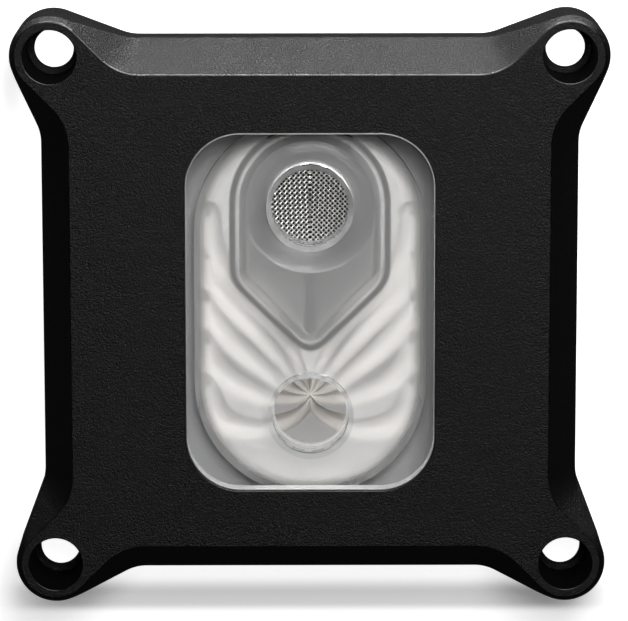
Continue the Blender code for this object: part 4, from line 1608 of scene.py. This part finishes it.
lightSizes = {
    "floorHalf": 0.9,
    "floorDrop": 0.02 * mm,       # below the contact face
    "floorSeen": 0.85,            # matt share of the floor that the camera sees
    "floorGlow": 0.60,
    "paintedShadowGlow": 0.20,            # painted shadow: lower glow in a band in front of the block, deepening its real shadow
    "front": (44.8 * mm, 47.6 * mm, 49.2 * mm, 51.0 * mm),
    "paintedShadowSides": (36.0 * mm, 52.0 * mm),
    "paintedLightUnder": 0.92,            # painted light: brighter glow under the block, seen through the ear holes
    "under": (42.8 * mm, 46.8 * mm),
    "floorDark": 0.02,            # what the black frame mirrors at its sides
    "floorMirrored": 0.01,
    "world": 0.03,
}
lamps = {
    # name: place, aimed at, width, height, radiance
    "softBox": ((0.060, 0.215, 0.375), (0.0, 0.0, 0.01), 0.20, 0.30, 9.9),
    "lowBar": ((0.01, 0.24, 0.0085), (0.0, 0.0, 0.0085), 0.28, 0.014, 165.0),   # below the face
}


def addFloor():
    made, graph, place = material("paleFloor")
    path = graph.add("ShaderNodeLightPath", out="Is Camera Ray")
    mirrored = path.also("Is Glossy Ray") * lightSizes["floorMirrored"]
    seen = (path + path.also("Is Transmission Ray") + mirrored).clamp()
    dark = graph.add("ShaderNodeBsdfDiffuse", None, {"Color": grey(lightSizes["floorDark"])})
    matt = graph.add("ShaderNodeBsdfDiffuse", None, {"Color": grey(lightSizes["floorSeen"])})
    across = graph.add("ShaderNodeSeparateXYZ", None, {"Vector": place}, out="X")
    reach = across.calc("ABSOLUTE").most(across.also("Y").calc("ABSOLUTE"))
    outside = graph.ramp(reach, *lightSizes["under"])
    down = across.also("Y") * -1.0
    # painted shadow: the glow drops in a band in front of the block
    starts, strong, weaker, ends = lightSizes["front"]
    front = graph.ramp(down, starts, strong) * graph.ramp(down, weaker, ends, 1.0, 0.0)
    front = front * graph.ramp(across.calc("ABSOLUTE"), *lightSizes["paintedShadowSides"], 1.0, 0.0)
    # painted light: the glow is raised under the block, where its shade falls
    under = outside * (lightSizes["floorGlow"] - lightSizes["paintedLightUnder"]) + lightSizes["paintedLightUnder"]
    level = under + front * (lightSizes["paintedShadowGlow"] - lightSizes["floorGlow"])
    glow = graph.add("ShaderNodeEmission", None, {"Color": level, "Strength": 1.0})
    both = graph.add("ShaderNodeAddShader", None, {0: matt, 1: glow})
    shader = graph.add("ShaderNodeMixShader", None, {0: seen, 1: dark, 2: both})
    graph.add("ShaderNodeOutputMaterial", None, {"Surface": shader})
    half, low = lightSizes["floorHalf"], -lightSizes["floorDrop"]
    corners = [(x * half, y * half, low) for x, y in ((-1, -1), (1, -1), (1, 1), (-1, 1))]
    data = bpy.data.meshes.new("floor")
    data.from_pydata(corners, [], [(0, 1, 2, 3)])
    data.materials.append(made)
    addObject("floor", data)


def addLamp(name, spot, target, width, height, radiance):
    data = bpy.data.lights.new(name, "AREA")
    data.shape = "RECTANGLE"
    data.size = width
    data.size_y = height
    data.energy = radiance * math.pi * width * height
    made = addObject(name, data)
    aim = Vector(target) - Vector(spot)
    made.matrix_world = Matrix.Translation(spot) @ aim.to_track_quat("-Z", "Y").to_matrix().to_4x4()


def addWorld():
    world = bpy.data.worlds.new("studio")
    world.use_nodes = True
    world.node_tree.nodes.clear()
    graph = Graph(world.node_tree)
    path = graph.add("ShaderNodeLightPath", out="Is Camera Ray")
    dim = graph.add("ShaderNodeBackground", None, {"Color": grey(1.0), "Strength": lightSizes["world"]})
    pale = graph.add("ShaderNodeBackground", None, {"Color": grey(1.0), "Strength": 1.0})
    both = graph.add("ShaderNodeMixShader", None, {0: path, 1: dim, 2: pale})
    graph.add("ShaderNodeOutputWorld", None, {"Surface": both})
    scene.world = world


addFloor()
for name, values in lamps.items():
    addLamp(name, *values)
addWorld()
print("stage set")
